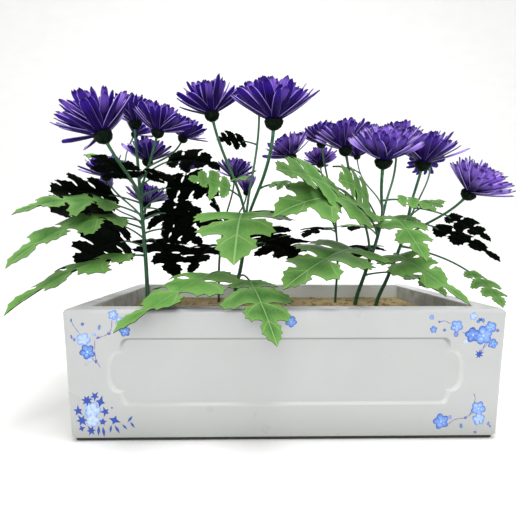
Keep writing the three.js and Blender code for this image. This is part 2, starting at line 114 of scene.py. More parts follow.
# Paper sweep: matt off-white, with only the faint clouding of paper pulp. Sizes in metres.
floor_end, bend_radius, sweep_top, sweep_half = 1.2, 0.8, 3.2, 3.5
paper, tree, shader = new_material("matt_backdrop_paper", 0.9)
fibre = add_node(tree, "TexNoise", {"Scale": 1000 / 16.7, "Detail": 4.0})
tint = add_node(tree, "Mix", {0: fibre, 6: "#f4f4f3", 7: "#fbfbfa"}, data_type="RGBA")
fill(tree, shader, {"Base Color": tint})
profile = [(-3.0, 0.0), (floor_end, 0.0)]
profile += [(floor_end + bend_radius * math.sin(a), bend_radius - bend_radius * math.cos(a))
            for a in np.linspace(0.15, math.pi / 2, 12)]
profile += [(floor_end + bend_radius, sweep_top)]
sweep_mesh = bpy.data.meshes.new("paper_sweep")
sweep_mesh.from_pydata(
    [(x, y, z) for y, z in profile for x in (-sweep_half, sweep_half)], [],
    [(2 * i, 2 * i + 1, 2 * i + 3, 2 * i + 2) for i in range(len(profile) - 1)])
sweep_mesh.materials.append(paper)
sweep_mesh.polygons.foreach_set("use_smooth", [True] * len(sweep_mesh.polygons))
sweep = bpy.data.objects.new("paper_sweep", sweep_mesh)
bpy.context.scene.collection.objects.link(sweep)


# The trough: a long planter of stoneware, slip-cast in one piece with a rounded rim and a
# sunk panel with stepped corners in each side, glazed pale grey and fired on a foot band whose
# near-black colour is painted shade.
# Inside, the end walls are given the grey mottled bare body as painted shade, and the long walls a
# paler glaze as painted light. Sizes in millimetres.
trough_length, trough_width, trough_height = 400, 230, 121
wall_thickness, wall_lean, floor = 19, 5, 14
corner_radius, inner_radius = 5, 3
rim_outer, rim_inner = 4, 1.5
foot_height, foot_inset = 3.2, 7.4
long_panel, short_panel, panel_height = 322, 152, 63
panel_step, panel_depth = 3, 2.6
panel_middle = 0.53 * trough_height
step_light_to_shade = (18, 28)  # between these heights over a panel's middle its step turns from painted light to painted shade


def lean_at(z):
    """How far the outer wall stands in from the rim's outline at a height."""
    return wall_lean * (1 - z / trough_height)


def trough_ring(z, inset, radius, steps=8):
    """A rectangle with round corners, inset from the rim's outline."""
    x = trough_length / 2 - inset - radius
    y = trough_width / 2 - inset - radius
    ring = []
    for corner, (side_x, side_y) in enumerate([(1, 1), (-1, 1), (-1, -1), (1, -1)]):
        for step in range(steps + 1):
            angle = (corner + step / steps) * math.pi / 2
            ring.append((side_x * x + radius * math.cos(angle),
                         side_y * y + radius * math.sin(angle), z))
    return ring


def panel_outline(width, height, steps=8):
    """A rectangle whose corners step in with two curves that meet in a cusp."""
    short, long, cusp = 18, 28, 11.5
    outline = []
    for side_x, side_y in [(1, -1), (1, 1), (-1, 1), (-1, -1)]:
        curves = [[(short, 0), (cusp, 0), (cusp, cusp)], [(cusp, cusp), (0, cusp), (0, long)]]
        if side_x * side_y > 0:
            curves = [curve[::-1] for curve in curves[::-1]]
        for start, middle, end in curves:
            for t in np.linspace(0, 1, steps + 1)[:-1]:
                across, up = [(1 - t) ** 2 * a + 2 * t * (1 - t) * b + t * t * c
                              for a, b, c in zip(start, middle, end)]
                outline.append((side_x * (width / 2 - across), side_y * (height / 2 - up)))
        across, up = curves[-1][-1]
        outline.append((side_x * (width / 2 - across), side_y * (height / 2 - up)))
    return outline


def make_piece(name, points, faces, materials, finishes, crease=35, **marks):
    """A mesh object in its place, from points in millimetres. Each mark is kept per point."""
    mesh = bpy.data.meshes.new(name)
    mesh.from_pydata((np.asarray(points, dtype=float) / 1000).tolist(), [], faces)
    for material in materials:
        mesh.materials.append(material)
    mesh.polygons.foreach_set("material_index", np.asarray(finishes, dtype=np.int32))
    mesh.polygons.foreach_set("use_smooth", np.ones(len(faces), dtype=bool))
    for mark, values in marks.items():
        values = np.asarray(values, dtype=np.float32)
        kind, field = ("FLOAT_VECTOR", "vector") if values.ndim == 2 else ("FLOAT", "value")
        mesh.attributes.new(mark, kind, "POINT").data.foreach_set(field, values.ravel())
    mesh.set_sharp_from_angle(angle=math.radians(crease))
    piece = bpy.data.objects.new(name, mesh)
    bpy.context.scene.collection.objects.link(piece)
    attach(piece, "root")
    return piece


# Each row is a height, how far it stands in, its corner radius, and the finish of the wall
# that rises from it: 0 glaze; 1 bare body, grey as painted shade; 2 foot band, near black as painted
# shade; 3 inner glaze, pale as painted light.
quarter = np.linspace(0, math.pi / 2, 7)
wall_foot = foot_height + 1.5
rows = [(0, foot_inset, corner_radius, 2), (foot_height, foot_inset, corner_radius, 2),
        (foot_height, foot_inset - 1, corner_radius, 0),
        (foot_height + 0.3, foot_inset - 1.9, corner_radius, 0),
        (wall_foot, lean_at(wall_foot), corner_radius, 0)]
wall_row = len(rows) - 1
rim_foot, rim_lip = trough_height - rim_outer, trough_height - rim_inner
rows += [(rim_foot + rim_outer * math.sin(a),
          lean_at(rim_foot) + (rim_outer - lean_at(rim_foot)) * (1 - math.cos(a)), corner_radius, 0)
         for a in quarter]
rows += [(rim_lip + rim_inner * math.cos(a), wall_thickness - rim_inner + rim_inner * math.sin(a),
          inner_radius, 0) for a in quarter[:-1]]
rows += [(z, wall_thickness + lean_at(z), inner_radius, 1) for z in (rim_lip, floor)]
count = len(trough_ring(0, 0, corner_radius))
corner_points = count // 4
trough_points = [point for z, inset, radius, _ in rows for point in trough_ring(z, inset, radius)]
trough_faces, trough_finishes = [], []
for row in range(len(rows) - 1):
    for i in range(count):
        if row == wall_row and i % corner_points == corner_points - 1:
            continue
        a, b = row * count + i, row * count + (i + 1) % count
        trough_faces.append((a, b, b + count, a + count))
        # Inside, the long walls take the pale inner glaze as painted light; the end walls keep the grey
        # bare body as painted shade.
        at_end = i % (2 * corner_points) >= corner_points
        finish = rows[row][3]
        trough_finishes.append(3 if finish == 1 and not at_end else finish)
last_row = (len(rows) - 1) * count
trough_faces += [tuple(range(count - 1, -1, -1)), tuple(range(last_row, last_row + count))]
trough_finishes += [2, 1]

# The four walls between the corners, each with its panel pressed in along a soft step. The step is
# painted paler along its sides and foot and greyer along its upper edge, as painted light and
# painted shade from above: 1 painted light, -1 painted shade.
lean = math.atan(wall_lean / trough_height)
walls = []
glaze_runs = [0.0] * len(trough_points)
for side, (panel_width, distance) in enumerate(
        [(long_panel, trough_width / 2), (short_panel, trough_length / 2)] * 2):
    corner = (1, 2, 3, 0)[side]
    facing = Vector([(0, 1, 0), (-1, 0, 0), (0, -1, 0), (1, 0, 0)][side])
    sideways = Vector((0, 0, 1)).cross(facing)
    upward = facing * math.sin(lean) + Vector((0, 0, math.cos(lean)))
    outward = sideways.cross(upward)
    centre = facing * (distance - lean_at(panel_middle)) + Vector((0, 0, panel_middle))
    walls.append((centre, sideways, upward, outward))
    first = corner * corner_points - 1
    ends = [wall_row * count + first % count, wall_row * count + (first + 1) % count]
    ends += [ends[1] + count, ends[0] + count]
    flat = [Vector(((Vector(trough_points[i]) - centre).dot(sideways),
                    (Vector(trough_points[i]) - centre).dot(upward))) for i in ends]
    depths, step_shading = [0.0] * 4, [0.0] * 4
    edges = [(0, 1), (1, 2), (2, 3), (3, 0)]
    for step in np.linspace(0, 1, 7):
        drawn_in = 2 * panel_step * step
        loop = panel_outline(panel_width - drawn_in, panel_height - drawn_in)
        start = len(flat)
        flat += [Vector(p) for p in loop]
        depths += [panel_depth * step * step * (3 - 2 * step)] * len(loop)
        step_shading += [4 * step * (1 - step) * np.interp(up, step_light_to_shade, (1, -1)) for across, up in loop]
        edges += [(start + i, start + (i + 1) % len(loop)) for i in range(len(loop))]
    cut, _, triangles, sources, _, _ = geometry.delaunay_2d_cdt(flat, edges, [], 0, 1e-4)
    start = len(trough_points)
    for point, source in zip(cut, sources):
        place = centre + sideways * point.x + upward * point.y
        trough_points.append(tuple(place - outward * depths[source[0]]))
        glaze_runs.append(step_shading[source[0]])
    trough_faces += [tuple(start + i for i in triangle) for triangle in triangles]
    trough_finishes += [0] * len(triangles)

# Stoneware glaze: clear, slightly uneven gloss over a pale grey body, with faint clouds about
# 70 mm wide, ripples 11 mm wide, and iron specks drawn 2 mm wide so that they show. It is a little
# darker towards the bottom. On the panel's step it is paler along the sides and foot as painted
# light and greyer along the upper edge as painted shade.
glaze, tree, shader = new_material("pale_stoneware_glaze", 0.3, 1.52)
place = add_node(tree, "NewGeometry")
darkening_top = 0.045
height = add_node(tree, "SeparateXYZ", {0: place}).outputs["Z"]
cloud = add_node(tree, "TexNoise", {"Vector": place, "Scale": 1000 / 71.4, "Detail": 3.0,
                                    "Distortion": 0.6})
body = add_node(tree, "Mix", {0: cloud, 6: "#abadac", 7: "#b7b9b8"}, data_type="RGBA")
speck = add_node(tree, "TexNoise", {"Vector": place, "Scale": 1000 / 1.92, "Detail": 2.0})
specks = add_node(tree, "MapRange", {"Value": speck, 1: 0.66, 2: 0.78, 3: 0.0, 4: 0.3})
dotted = add_node(tree, "Mix", {0: specks, 6: body, 7: "#a1a4a1"}, data_type="RGBA")
# The glaze is a little darker towards the bottom of the trough, below 45 mm.
lowness = add_node(tree, "MapRange", {"Value": height, 1: 0.004, 2: darkening_top, 3: 1.0, 4: 0.0})
fading = add_node(tree, "Math", {0: lowness, 1: lowness}, operation="MULTIPLY")
darker_low = add_node(tree, "Mix", {0: fading, 6: dotted, 7: "#a3a5a1"}, data_type="RGBA")
# Painted light along the sides and foot of each panel's step, painted shade along its upper edge.
run = add_node(tree, "Attribute", attribute_name="glaze_run").outputs["Fac"]
step_lit_share = add_node(tree, "MapRange", {"Value": run, 1: 0.0, 2: 0.9, 3: 0.0, 4: 0.9})
step_painted_light = add_node(tree, "Mix", {0: step_lit_share, 6: darker_low, 7: "#c6c8c6"}, data_type="RGBA")
step_shaded_share = add_node(tree, "MapRange", {"Value": run, 1: 0.0, 2: -0.9, 3: 0.0, 4: 0.9})
glazed = add_node(tree, "Mix", {0: step_shaded_share, 6: step_painted_light, 7: "#8c8e8d"}, data_type="RGBA")
gloss = add_node(tree, "MapRange", {"Value": cloud, 1: 0.3, 2: 0.7, 3: 0.26, 4: 0.4})
ripple = add_node(tree, "TexNoise", {"Vector": place, "Scale": 1000 / 11.1, "Detail": 1.0})
bump = add_node(tree, "Bump", {"Height": ripple, "Strength": 0.06, "Distance": 0.001})
fill(tree, shader, {"Base Color": glazed, "Roughness": gloss, "Normal": bump})

# Bare stoneware body, on the end walls inside: matt and mottled in patches about 17 mm wide where
# damp has dried, and grey as painted shade, since these walls face away from the lamps.
bare_body_painted_shade, tree, shader = new_material("bare_body_with_painted_shade", 0.8, 1.5)
place = add_node(tree, "NewGeometry")
patches = add_node(tree, "TexNoise", {"Vector": place, "Scale": 1000 / 16.7, "Detail": 6.0,
                                      "Roughness": 0.65})
contrast = add_node(tree, "MapRange", {"Value": patches, 1: 0.35, 2: 0.65})
mottle_and_painted_shade = add_node(tree, "Mix", {0: contrast, 6: "#9a9e9a", 7: "#c6c9c5"}, data_type="RGBA")
bump = add_node(tree, "Bump", {"Height": patches, "Strength": 0.3, "Distance": 0.001})
fill(tree, shader, {"Base Color": mottle_and_painted_shade, "Normal": bump})

# Inner glaze on the long walls inside: wiped on in strokes 40 mm wide, and much paler than outside
# as painted light, for the lit walls above the soil.
inner_glaze_painted_light, tree, shader = new_material("inner_glaze_with_painted_light", 0.45, 1.5)
place = add_node(tree, "NewGeometry")
wiped = add_node(tree, "TexNoise", {"Vector": place, "Scale": 1000 / 40, "Detail": 3.0})
painted_light_tint = add_node(tree, "Mix", {0: wiped, 6: "#d8dedb", 7: "#e9eeeb"}, data_type="RGBA")
fill(tree, shader, {"Base Color": painted_light_tint})

# Foot band: unglazed, rubbed dull by what it stands on, with grit drawn 3.3 mm wide. Its
# near-black colour is painted shade, for the shadow line under the trough.
foot, tree, shader = new_material("foot_band_in_painted_shade", 0.75, 1.5)
grit = add_node(tree, "TexNoise", {"Vector": add_node(tree, "NewGeometry"), "Scale": 1000 / 3.33})
foot_band_painted_shade = add_node(tree, "Mix", {0: grit, 6: "#141516", 7: "#333536"}, data_type="RGBA")
fill(tree, shader, {"Base Color": foot_band_painted_shade})

trough = make_piece("stoneware_trough", trough_points, trough_faces, [glaze, bare_body_painted_shade, foot, inner_glaze_painted_light],
                    trough_finishes, crease=40, glaze_run=glaze_runs)
work = bmesh.new()
work.from_mesh(trough.data)
bmesh.ops.remove_doubles(work, verts=work.verts, dist=1e-6)
bmesh.ops.recalc_face_normals(work, faces=work.faces)
work.to_mesh(trough.data)
work.free()
trough.modifiers.new("even_shading", "WEIGHTED_NORMAL").keep_sharp = True
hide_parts("trough")

# The painted sprays: blossoms, buds, twigs and leaves brushed in cobalt over the glaze at the
# corners of the long walls, and fired, so that they stand a hair proud of it.

# A blossom is its x, height, radius and depth of blue. A bud is its x, height, half width, half
# height, blue and mauve. A twig is its points. A leaf is its x, height, size, turn and spikes.
front_blossoms = [
    (-180.5, 94, 6.6, 0.5), (-177.5, 83, 7.2, 0.95), (-154, 116, 4.6, 0.65), (-147.5, 110, 5, 0.55),
    (-144, 101.5, 5.2, 0.95), (3.5, 110, 5.5, 0.9), (177.5, 97, 9, 0.8), (168, 97.5, 7.4, 1),
    (184, 104.5, 5.8, 0.8), (168, 114.5, 3.8, 0.5), (186.5, 89.5, 4.8, 0.9), (153, 105.5, 6, 0.75),
    (132, 102.5, 3.4, 0.9), (142, 17, 7.6, 0.9), (176, 29, 7.2, 0.75), (176.8, 19, 6.2, 0.6),
    (-174.5, 29.5, 8, 0.42), (-174.5, 20, 6.5, 0.36),
]
front_buds = [
    (-166.4, 105, 1.2, 2.6, 0.9, 0.2), (-181, 108, 1.7, 1.6, 0.4, 0.9), (-190.8, 111.5, 0.9, 1.7, 1, 0.5),
    (-191, 96.5, 0.9, 2.2, 0.9, 0.6), (-188.6, 94, 1.2, 1.6, 0.9, 0.3), (-167.7, 95.7, 1.8, 1.2, 0.9, 0.9),
    (-158, 99.4, 1.8, 1.2, 0.9, 0.9), (-171, 98.5, 2.2, 1.6, 0.4, 0.2), (-176, 75.5, 1.8, 2.0, 0.3, 0.0),
    (-170, 74.3, 1.2, 2.0, 0.9, 0.8), (130, 113.8, 2.5, 2.4, 0.5, 0.3), (137, 109.5, 1.3, 1.0, 0.9, 0.9),
    (142, 102, 1.6, 1.5, 0.5, 0.9), (152.6, 98, 2.4, 2.6, 0.6, 0.5), (172.5, 110, 1.8, 1.6, 1, 0),
    (177, 110.7, 1.3, 2.2, 1, 0.1), (190.5, 101.5, 1.6, 1.6, 0.3, 0.9), (162, 91.5, 2.4, 2.0, 0.2, 0.0),
    (164.5, 20.3, 1.6, 1.4, 0.9, 0.8), (160.8, 12.6, 1.5, 2.4, 1, 0.1), (186, 14.6, 1.0, 2.0, 0.9, 0.4),
    (187.6, 12.2, 0.9, 1.6, 0.9, 0.4), (174, 6.6, 1.6, 1.4, 0.4, 0.9), (150, 21, 2.2, 2.0, 0.2, 0.6),
    (-157, 31.5, 1.0, 0.9, 0.6, 0.9),
]
front_twigs = [
    [(-190.5, 110), (-188, 105), (-184, 100)], [(-168, 95.6), (-163, 97), (-158, 99.3)],
    [(-158, 99.3), (-155.5, 104), (-155, 112)], [(-170.5, 94), (-171, 84), (-170, 75), (-166, 68)],
    [(-179, 88), (-174, 78), (-171, 74)], [(137, 109.5), (142, 110.5), (148, 107.5)],
    [(158, 100), (163, 98.5)], [(182, 90), (177, 84), (175, 80)], [(180, 91), (177, 83), (174, 76)],
    [(148, 13.5), (153, 18), (158, 19.6), (164, 20)], [(171, 43.6), (173, 39), (171, 30), (168, 22)],
    [(172, 26), (166, 21)],
]
front_leaves = [
    (-179, 38.5, 6.5, 0.3, 7), (-167, 37, 5.6, 1.3, 4), (-187, 29, 5.2, 0.4, 5),
    (-163, 28, 4.8, 0.7, 5), (-172, 42.5, 4.6, 0.9, 5), (-176, 10.5, 5.2, 0.1, 6),
    (-184.5, 12.5, 3.8, 1.9, 4), (-158.5, 12, 3.6, 1.4, 3), (-184, 20, 6.2, 2.2, 6),
    (-165.5, 18.5, 4.6, 0.2, 5),
    (-169.4, 10.4, 4.6, 1.5, 3), (-165, 9.4, 4.6, 1.7, 3), (-155, 20, 5.6, 1.2, 4),
    (-152.8, 11.6, 4.2, 2.1, 3), (-146, 13.8, 3.2, 2.3, 2), (-141, 21, 3.8, 0.9, 2),
    (-139, 15.6, 3.4, 2.2, 2), (174.5, 79.5, 4.6, 0.5, 7),
    (174.5, 111.5, 2.6, 1.0, 4),
]
paint_points, paint_faces, paint_tones = [], [], []
brush = random.Random(5)
buried = 0.15  # how deep the rim of a patch lies in the glaze
twig_half_width = 0.32


def paint_patch(wall, outline, middle, lift, inner, outer, mauve=0.0):
    """A closed, slightly domed patch of paint on a wall, paler in the middle than at its rim."""
    centre, sideways, upward, outward = wall
    start, size = len(paint_points), len(outline)
    for share, rise in ((1.0, -buried), (0.92, lift * 0.7), (0.62, lift)):
        for x, z in outline:
            point = [m + (c - m) * share for m, c in zip(middle, (x, z - panel_middle))]
            paint_points.append(tuple(centre + sideways * point[0] + upward * point[1] + outward * rise))
            tone = outer if share > 0.9 else inner + 0.35 * (outer - inner)
            paint_tones.append((tone + 0.12 * (brush.random() - 0.5), mauve, 0.0))
    for rise in (lift * 1.1, -buried):
        paint_points.append(tuple(centre + sideways * middle[0] + upward * middle[1] + outward * rise))
        paint_tones.append((inner, mauve, 0.0))
    for i in range(size):
        j = (i + 1) % size
        for row in (0, size):
            a, b = start + row + i, start + row + j
            paint_faces.append((a, b, b + size, a + size))
        paint_faces.append((start + 2 * size + i, start + 2 * size + j, start + 3 * size))
        paint_faces.append((start + j, start + i, start + 3 * size + 1))


def rounded(x, z, half_width, half_height, turn=0.0, sides=16, waver=0.06):
    """An outline drawn by hand: an ellipse that is not quite even."""
    outline = []
    for i in range(sides):
        angle = 2 * math.pi * i / sides
        reach = 1 + waver * math.sin(3 * angle + x) + waver * (brush.random() - 0.5)
        a, b = half_width * reach * math.cos(angle), half_height * reach * math.sin(angle)
        outline.append((x + a * math.cos(turn) - b * math.sin(turn),
                        z + a * math.sin(turn) + b * math.cos(turn)))
    return outline


for wall in (walls[2], walls[0]):
    for x, z, radius, blue in front_blossoms:
        turn = brush.random() * 6
        for petal in range(5):
            angle = turn + petal * 2 * math.pi / 5
            along_x, along_z = radius * math.cos(angle), radius * math.sin(angle)
            px, pz = x + 0.52 * along_x, z + 0.52 * along_z
            paint_patch(wall, rounded(px, pz, radius * 0.5, radius * 0.44, angle),
                        (px - 0.2 * along_x, pz - panel_middle - 0.2 * along_z),
                        0.12 + 0.03 * petal, 0.5 * blue * blue - 0.04, 1.1 * blue)
        paint_patch(wall, rounded(x, z, radius * 0.2, radius * 0.2), (x, z - panel_middle),
                    0.3, 0.1, 0.6 * blue)
    for x, z, half_width, half_height, blue, mauve in front_buds:
        paint_patch(wall, rounded(x, z, half_width, half_height, brush.random() - 0.5, 12),
                    (x, z - panel_middle), 0.16, 0.5 * blue, blue, mauve)
    for twig in front_twigs:
        for (x0, z0), (x1, z1) in zip(twig, twig[1:]):
            turn = math.atan2(z1 - z0, x1 - x0)
            x, z = (x0 + x1) / 2, (z0 + z1) / 2
            half = math.hypot(x1 - x0, z1 - z0) / 2 + 0.3
            paint_patch(wall, rounded(x, z, half, twig_half_width, turn, 12, 0),
                        (x, z - panel_middle), 0.1, 0.9, 0.9, 0.85)
    for x, z, size, turn, spikes in front_leaves:
        slender = spikes < 4
        outline = []
        for i in range(2 * spikes):
            angle = turn + math.pi * i / spikes
            reach = size * (0.75 + 0.5 * brush.random()) if i % 2 == 0 else size * 0.42
            if slender:
                reach = size * (1.15 if i % spikes == 0 else 0.34)
            outline.append((x + reach * math.cos(angle), z + reach * math.sin(angle)))
        paint_patch(wall, outline, (x, z - panel_middle), 0.14, 1.0, 1.1)

# Cobalt painting: pale washes that pool to a darker rim, with mauve in the buds and twigs. The
# wash is uneven over about 2.4 mm, the width of a loaded brush.
cobalt, tree, shader = new_material("cobalt_brushwork", 0.28, 1.52)
wash_marks = add_node(tree, "Attribute", attribute_name="wash").outputs["Vector"]
tone = add_node(tree, "SeparateXYZ", {0: wash_marks})
place = add_node(tree, "NewGeometry")
wash = add_node(tree, "TexNoise", {"Vector": place, "Scale": 1000 / 2.38, "Detail": 3.0})
shifted = add_node(tree, "MapRange", {"Value": wash, 1: 0.3, 2: 0.7, 3: -0.12, 4: 0.12})
depth = add_node(tree, "Math", {0: tone.outputs["X"], 1: shifted}, operation="ADD", use_clamp=True)
light_wash = add_node(tree, "MapRange", {"Value": depth, 1: 0.0, 2: 0.5})
dark_wash = add_node(tree, "MapRange", {"Value": depth, 1: 0.5, 2: 1.0})
pale = add_node(tree, "Mix", {0: light_wash, 6: "#c2d2ea", 7: "#6690d6"}, data_type="RGBA")
deep = add_node(tree, "Mix", {0: dark_wash, 6: pale, 7: "#153f9f"}, data_type="RGBA")
mauve = add_node(tree, "Mix", {0: tone.outputs["Y"], 6: deep, 7: "#5d55a0"}, data_type="RGBA")
fill(tree, shader, {"Base Color": mauve})
sprays = make_piece("painted_sprays", paint_points, paint_faces, [cobalt], np.zeros(len(paint_faces)),
                    crease=60, wash=paint_tones)


# The potting soil: damp loam pressed level by watering, with crumbs, bark bits and a thin
# olive bloom of moss on top. It fills the trough to 18 mm below the rim.
soil_level, soil_foot = 103, 15
half_x, half_y = 179.6, 94.6
narrow_x, narrow_y = 0.978, 0.958


def soil_height(x, y):
    """The uneven top of the soil, in millimetres."""
    broad = noise.noise(Vector((x / 45, y / 45, 3.1)))
    fine = noise.noise(Vector((x / 9, y / 9, 8.4)))
    return soil_level + 1.2 * broad + 0.7 * fine


columns, lanes = 110, 60
soil_points = [(x, y, soil_height(x, y)) for y in np.linspace(-half_y, half_y, lanes + 1)
               for x in np.linspace(-half_x, half_x, columns + 1)]
across = columns + 1
soil_faces = [(r * across + c, r * across + c + 1, (r + 1) * across + c + 1, (r + 1) * across + c)
              for r in range(lanes) for c in range(columns)]
edge = list(range(columns)) + [r * across + columns for r in range(lanes)]
edge += [lanes * across + c for c in range(columns, 0, -1)] + [r * across for r in range(lanes, 0, -1)]
base = len(soil_points)
soil_points += [(soil_points[i][0] * narrow_x, soil_points[i][1] * narrow_y, soil_foot) for i in edge]
soil_faces += [(edge[(i + 1) % len(edge)], edge[i], base + i, base + (i + 1) % len(edge))
               for i in range(len(edge))]
soil_faces.append(tuple(base + i for i in range(len(edge) - 1, -1, -1)))

# Loam: matt and granular. It is tan where it has dried, dark in damp patches about 38 mm wide and
# olive in mossy ones 13 mm wide. The grains are drawn 2.4 mm wide so that they show.
loam, tree, shader = new_material("damp_loam", 0.95, 1.4)
place = add_node(tree, "NewGeometry")
grain = add_node(tree, "TexNoise", {"Vector": place, "Scale": 1000 / 2.38, "Detail": 5.0,
                                    "Roughness": 0.7})
damp = add_node(tree, "TexNoise", {"Vector": place, "Scale": 1000 / 38.5, "Detail": 3.0})
moss = add_node(tree, "TexNoise", {"Vector": place, "Scale": 1000 / 13.3, "Detail": 5.0, "Roughness": 0.7})
grained = add_node(tree, "MapRange", {"Value": grain, 1: 0.32, 2: 0.68})
dry = add_node(tree, "Mix", {0: grained, 6: "#8a744c", 7: "#cbb688"}, data_type="RGBA")
wet = add_node(tree, "MapRange", {"Value": damp, 1: 0.45, 2: 0.7, 3: 0.0, 4: 0.55})
damped = add_node(tree, "Mix", {0: wet, 6: dry, 7: "#7c6842"}, data_type="RGBA")
mossy = add_node(tree, "MapRange", {"Value": moss, 1: 0.5, 2: 0.68, 3: 0.0, 4: 0.75})
ground = add_node(tree, "Mix", {0: mossy, 6: damped, 7: "#a19f4c"}, data_type="RGBA")
bump = add_node(tree, "Bump", {"Height": grain, "Strength": 0.8, "Distance": 0.002})
fill(tree, shader, {"Base Color": ground, "Normal": bump})

soil = make_piece("loam_bed", soil_points, soil_faces, [loam], np.zeros(len(soil_faces)), crease=60)
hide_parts("potting_soil")

# Crumbs and bark bits: small lumps of the same loam, half sunk in its surface.
crumb_points, crumb_faces = [], []
lump = bmesh.new()
bmesh.ops.create_icosphere(lump, subdivisions=2, radius=1)
lump_points = [vertex.co.copy() for vertex in lump.verts]
lump_faces = [tuple(vertex.index for vertex in face.verts) for face in lump.faces]
lump.free()
scatter = random.Random(21)
crumb_count, edge_gap = 520, 5.6
spread_x, spread_y = half_x - edge_gap, half_y - edge_gap
for number in range(crumb_count):
    x, y = scatter.uniform(-spread_x, spread_x), scatter.uniform(-spread_y, spread_y)
    radius = 0.8 + 2.0 * scatter.random() ** 2.5
    stretch = Vector((scatter.uniform(0.8, 1.5), scatter.uniform(0.8, 1.3), scatter.uniform(0.55, 0.9)))
    turn = scatter.uniform(0, 6.3)
    start = len(crumb_points)
    for corner in lump_points:
        rough = 1 + 0.35 * noise.noise(corner * 1.7 + Vector((number, 0, 0)))
        local = corner * stretch * (radius * rough)
        crumb_points.append((x + local.x * math.cos(turn) - local.y * math.sin(turn),
                             y + local.x * math.sin(turn) + local.y * math.cos(turn),
                             soil_height(x, y) + radius * 0.15 + local.z))
    crumb_faces += [tuple(start + i for i in face) for face in lump_faces]
crumbs = make_piece("soil_crumbs", crumb_points, crumb_faces, [loam], np.zeros(len(crumb_faces)))

# The greenery: six leafy stems, each with its ribbed main stem, its stalks, the scaled green
# cup under each bloom, and its leaves. All of a plant is one growth, rooted in the soil.

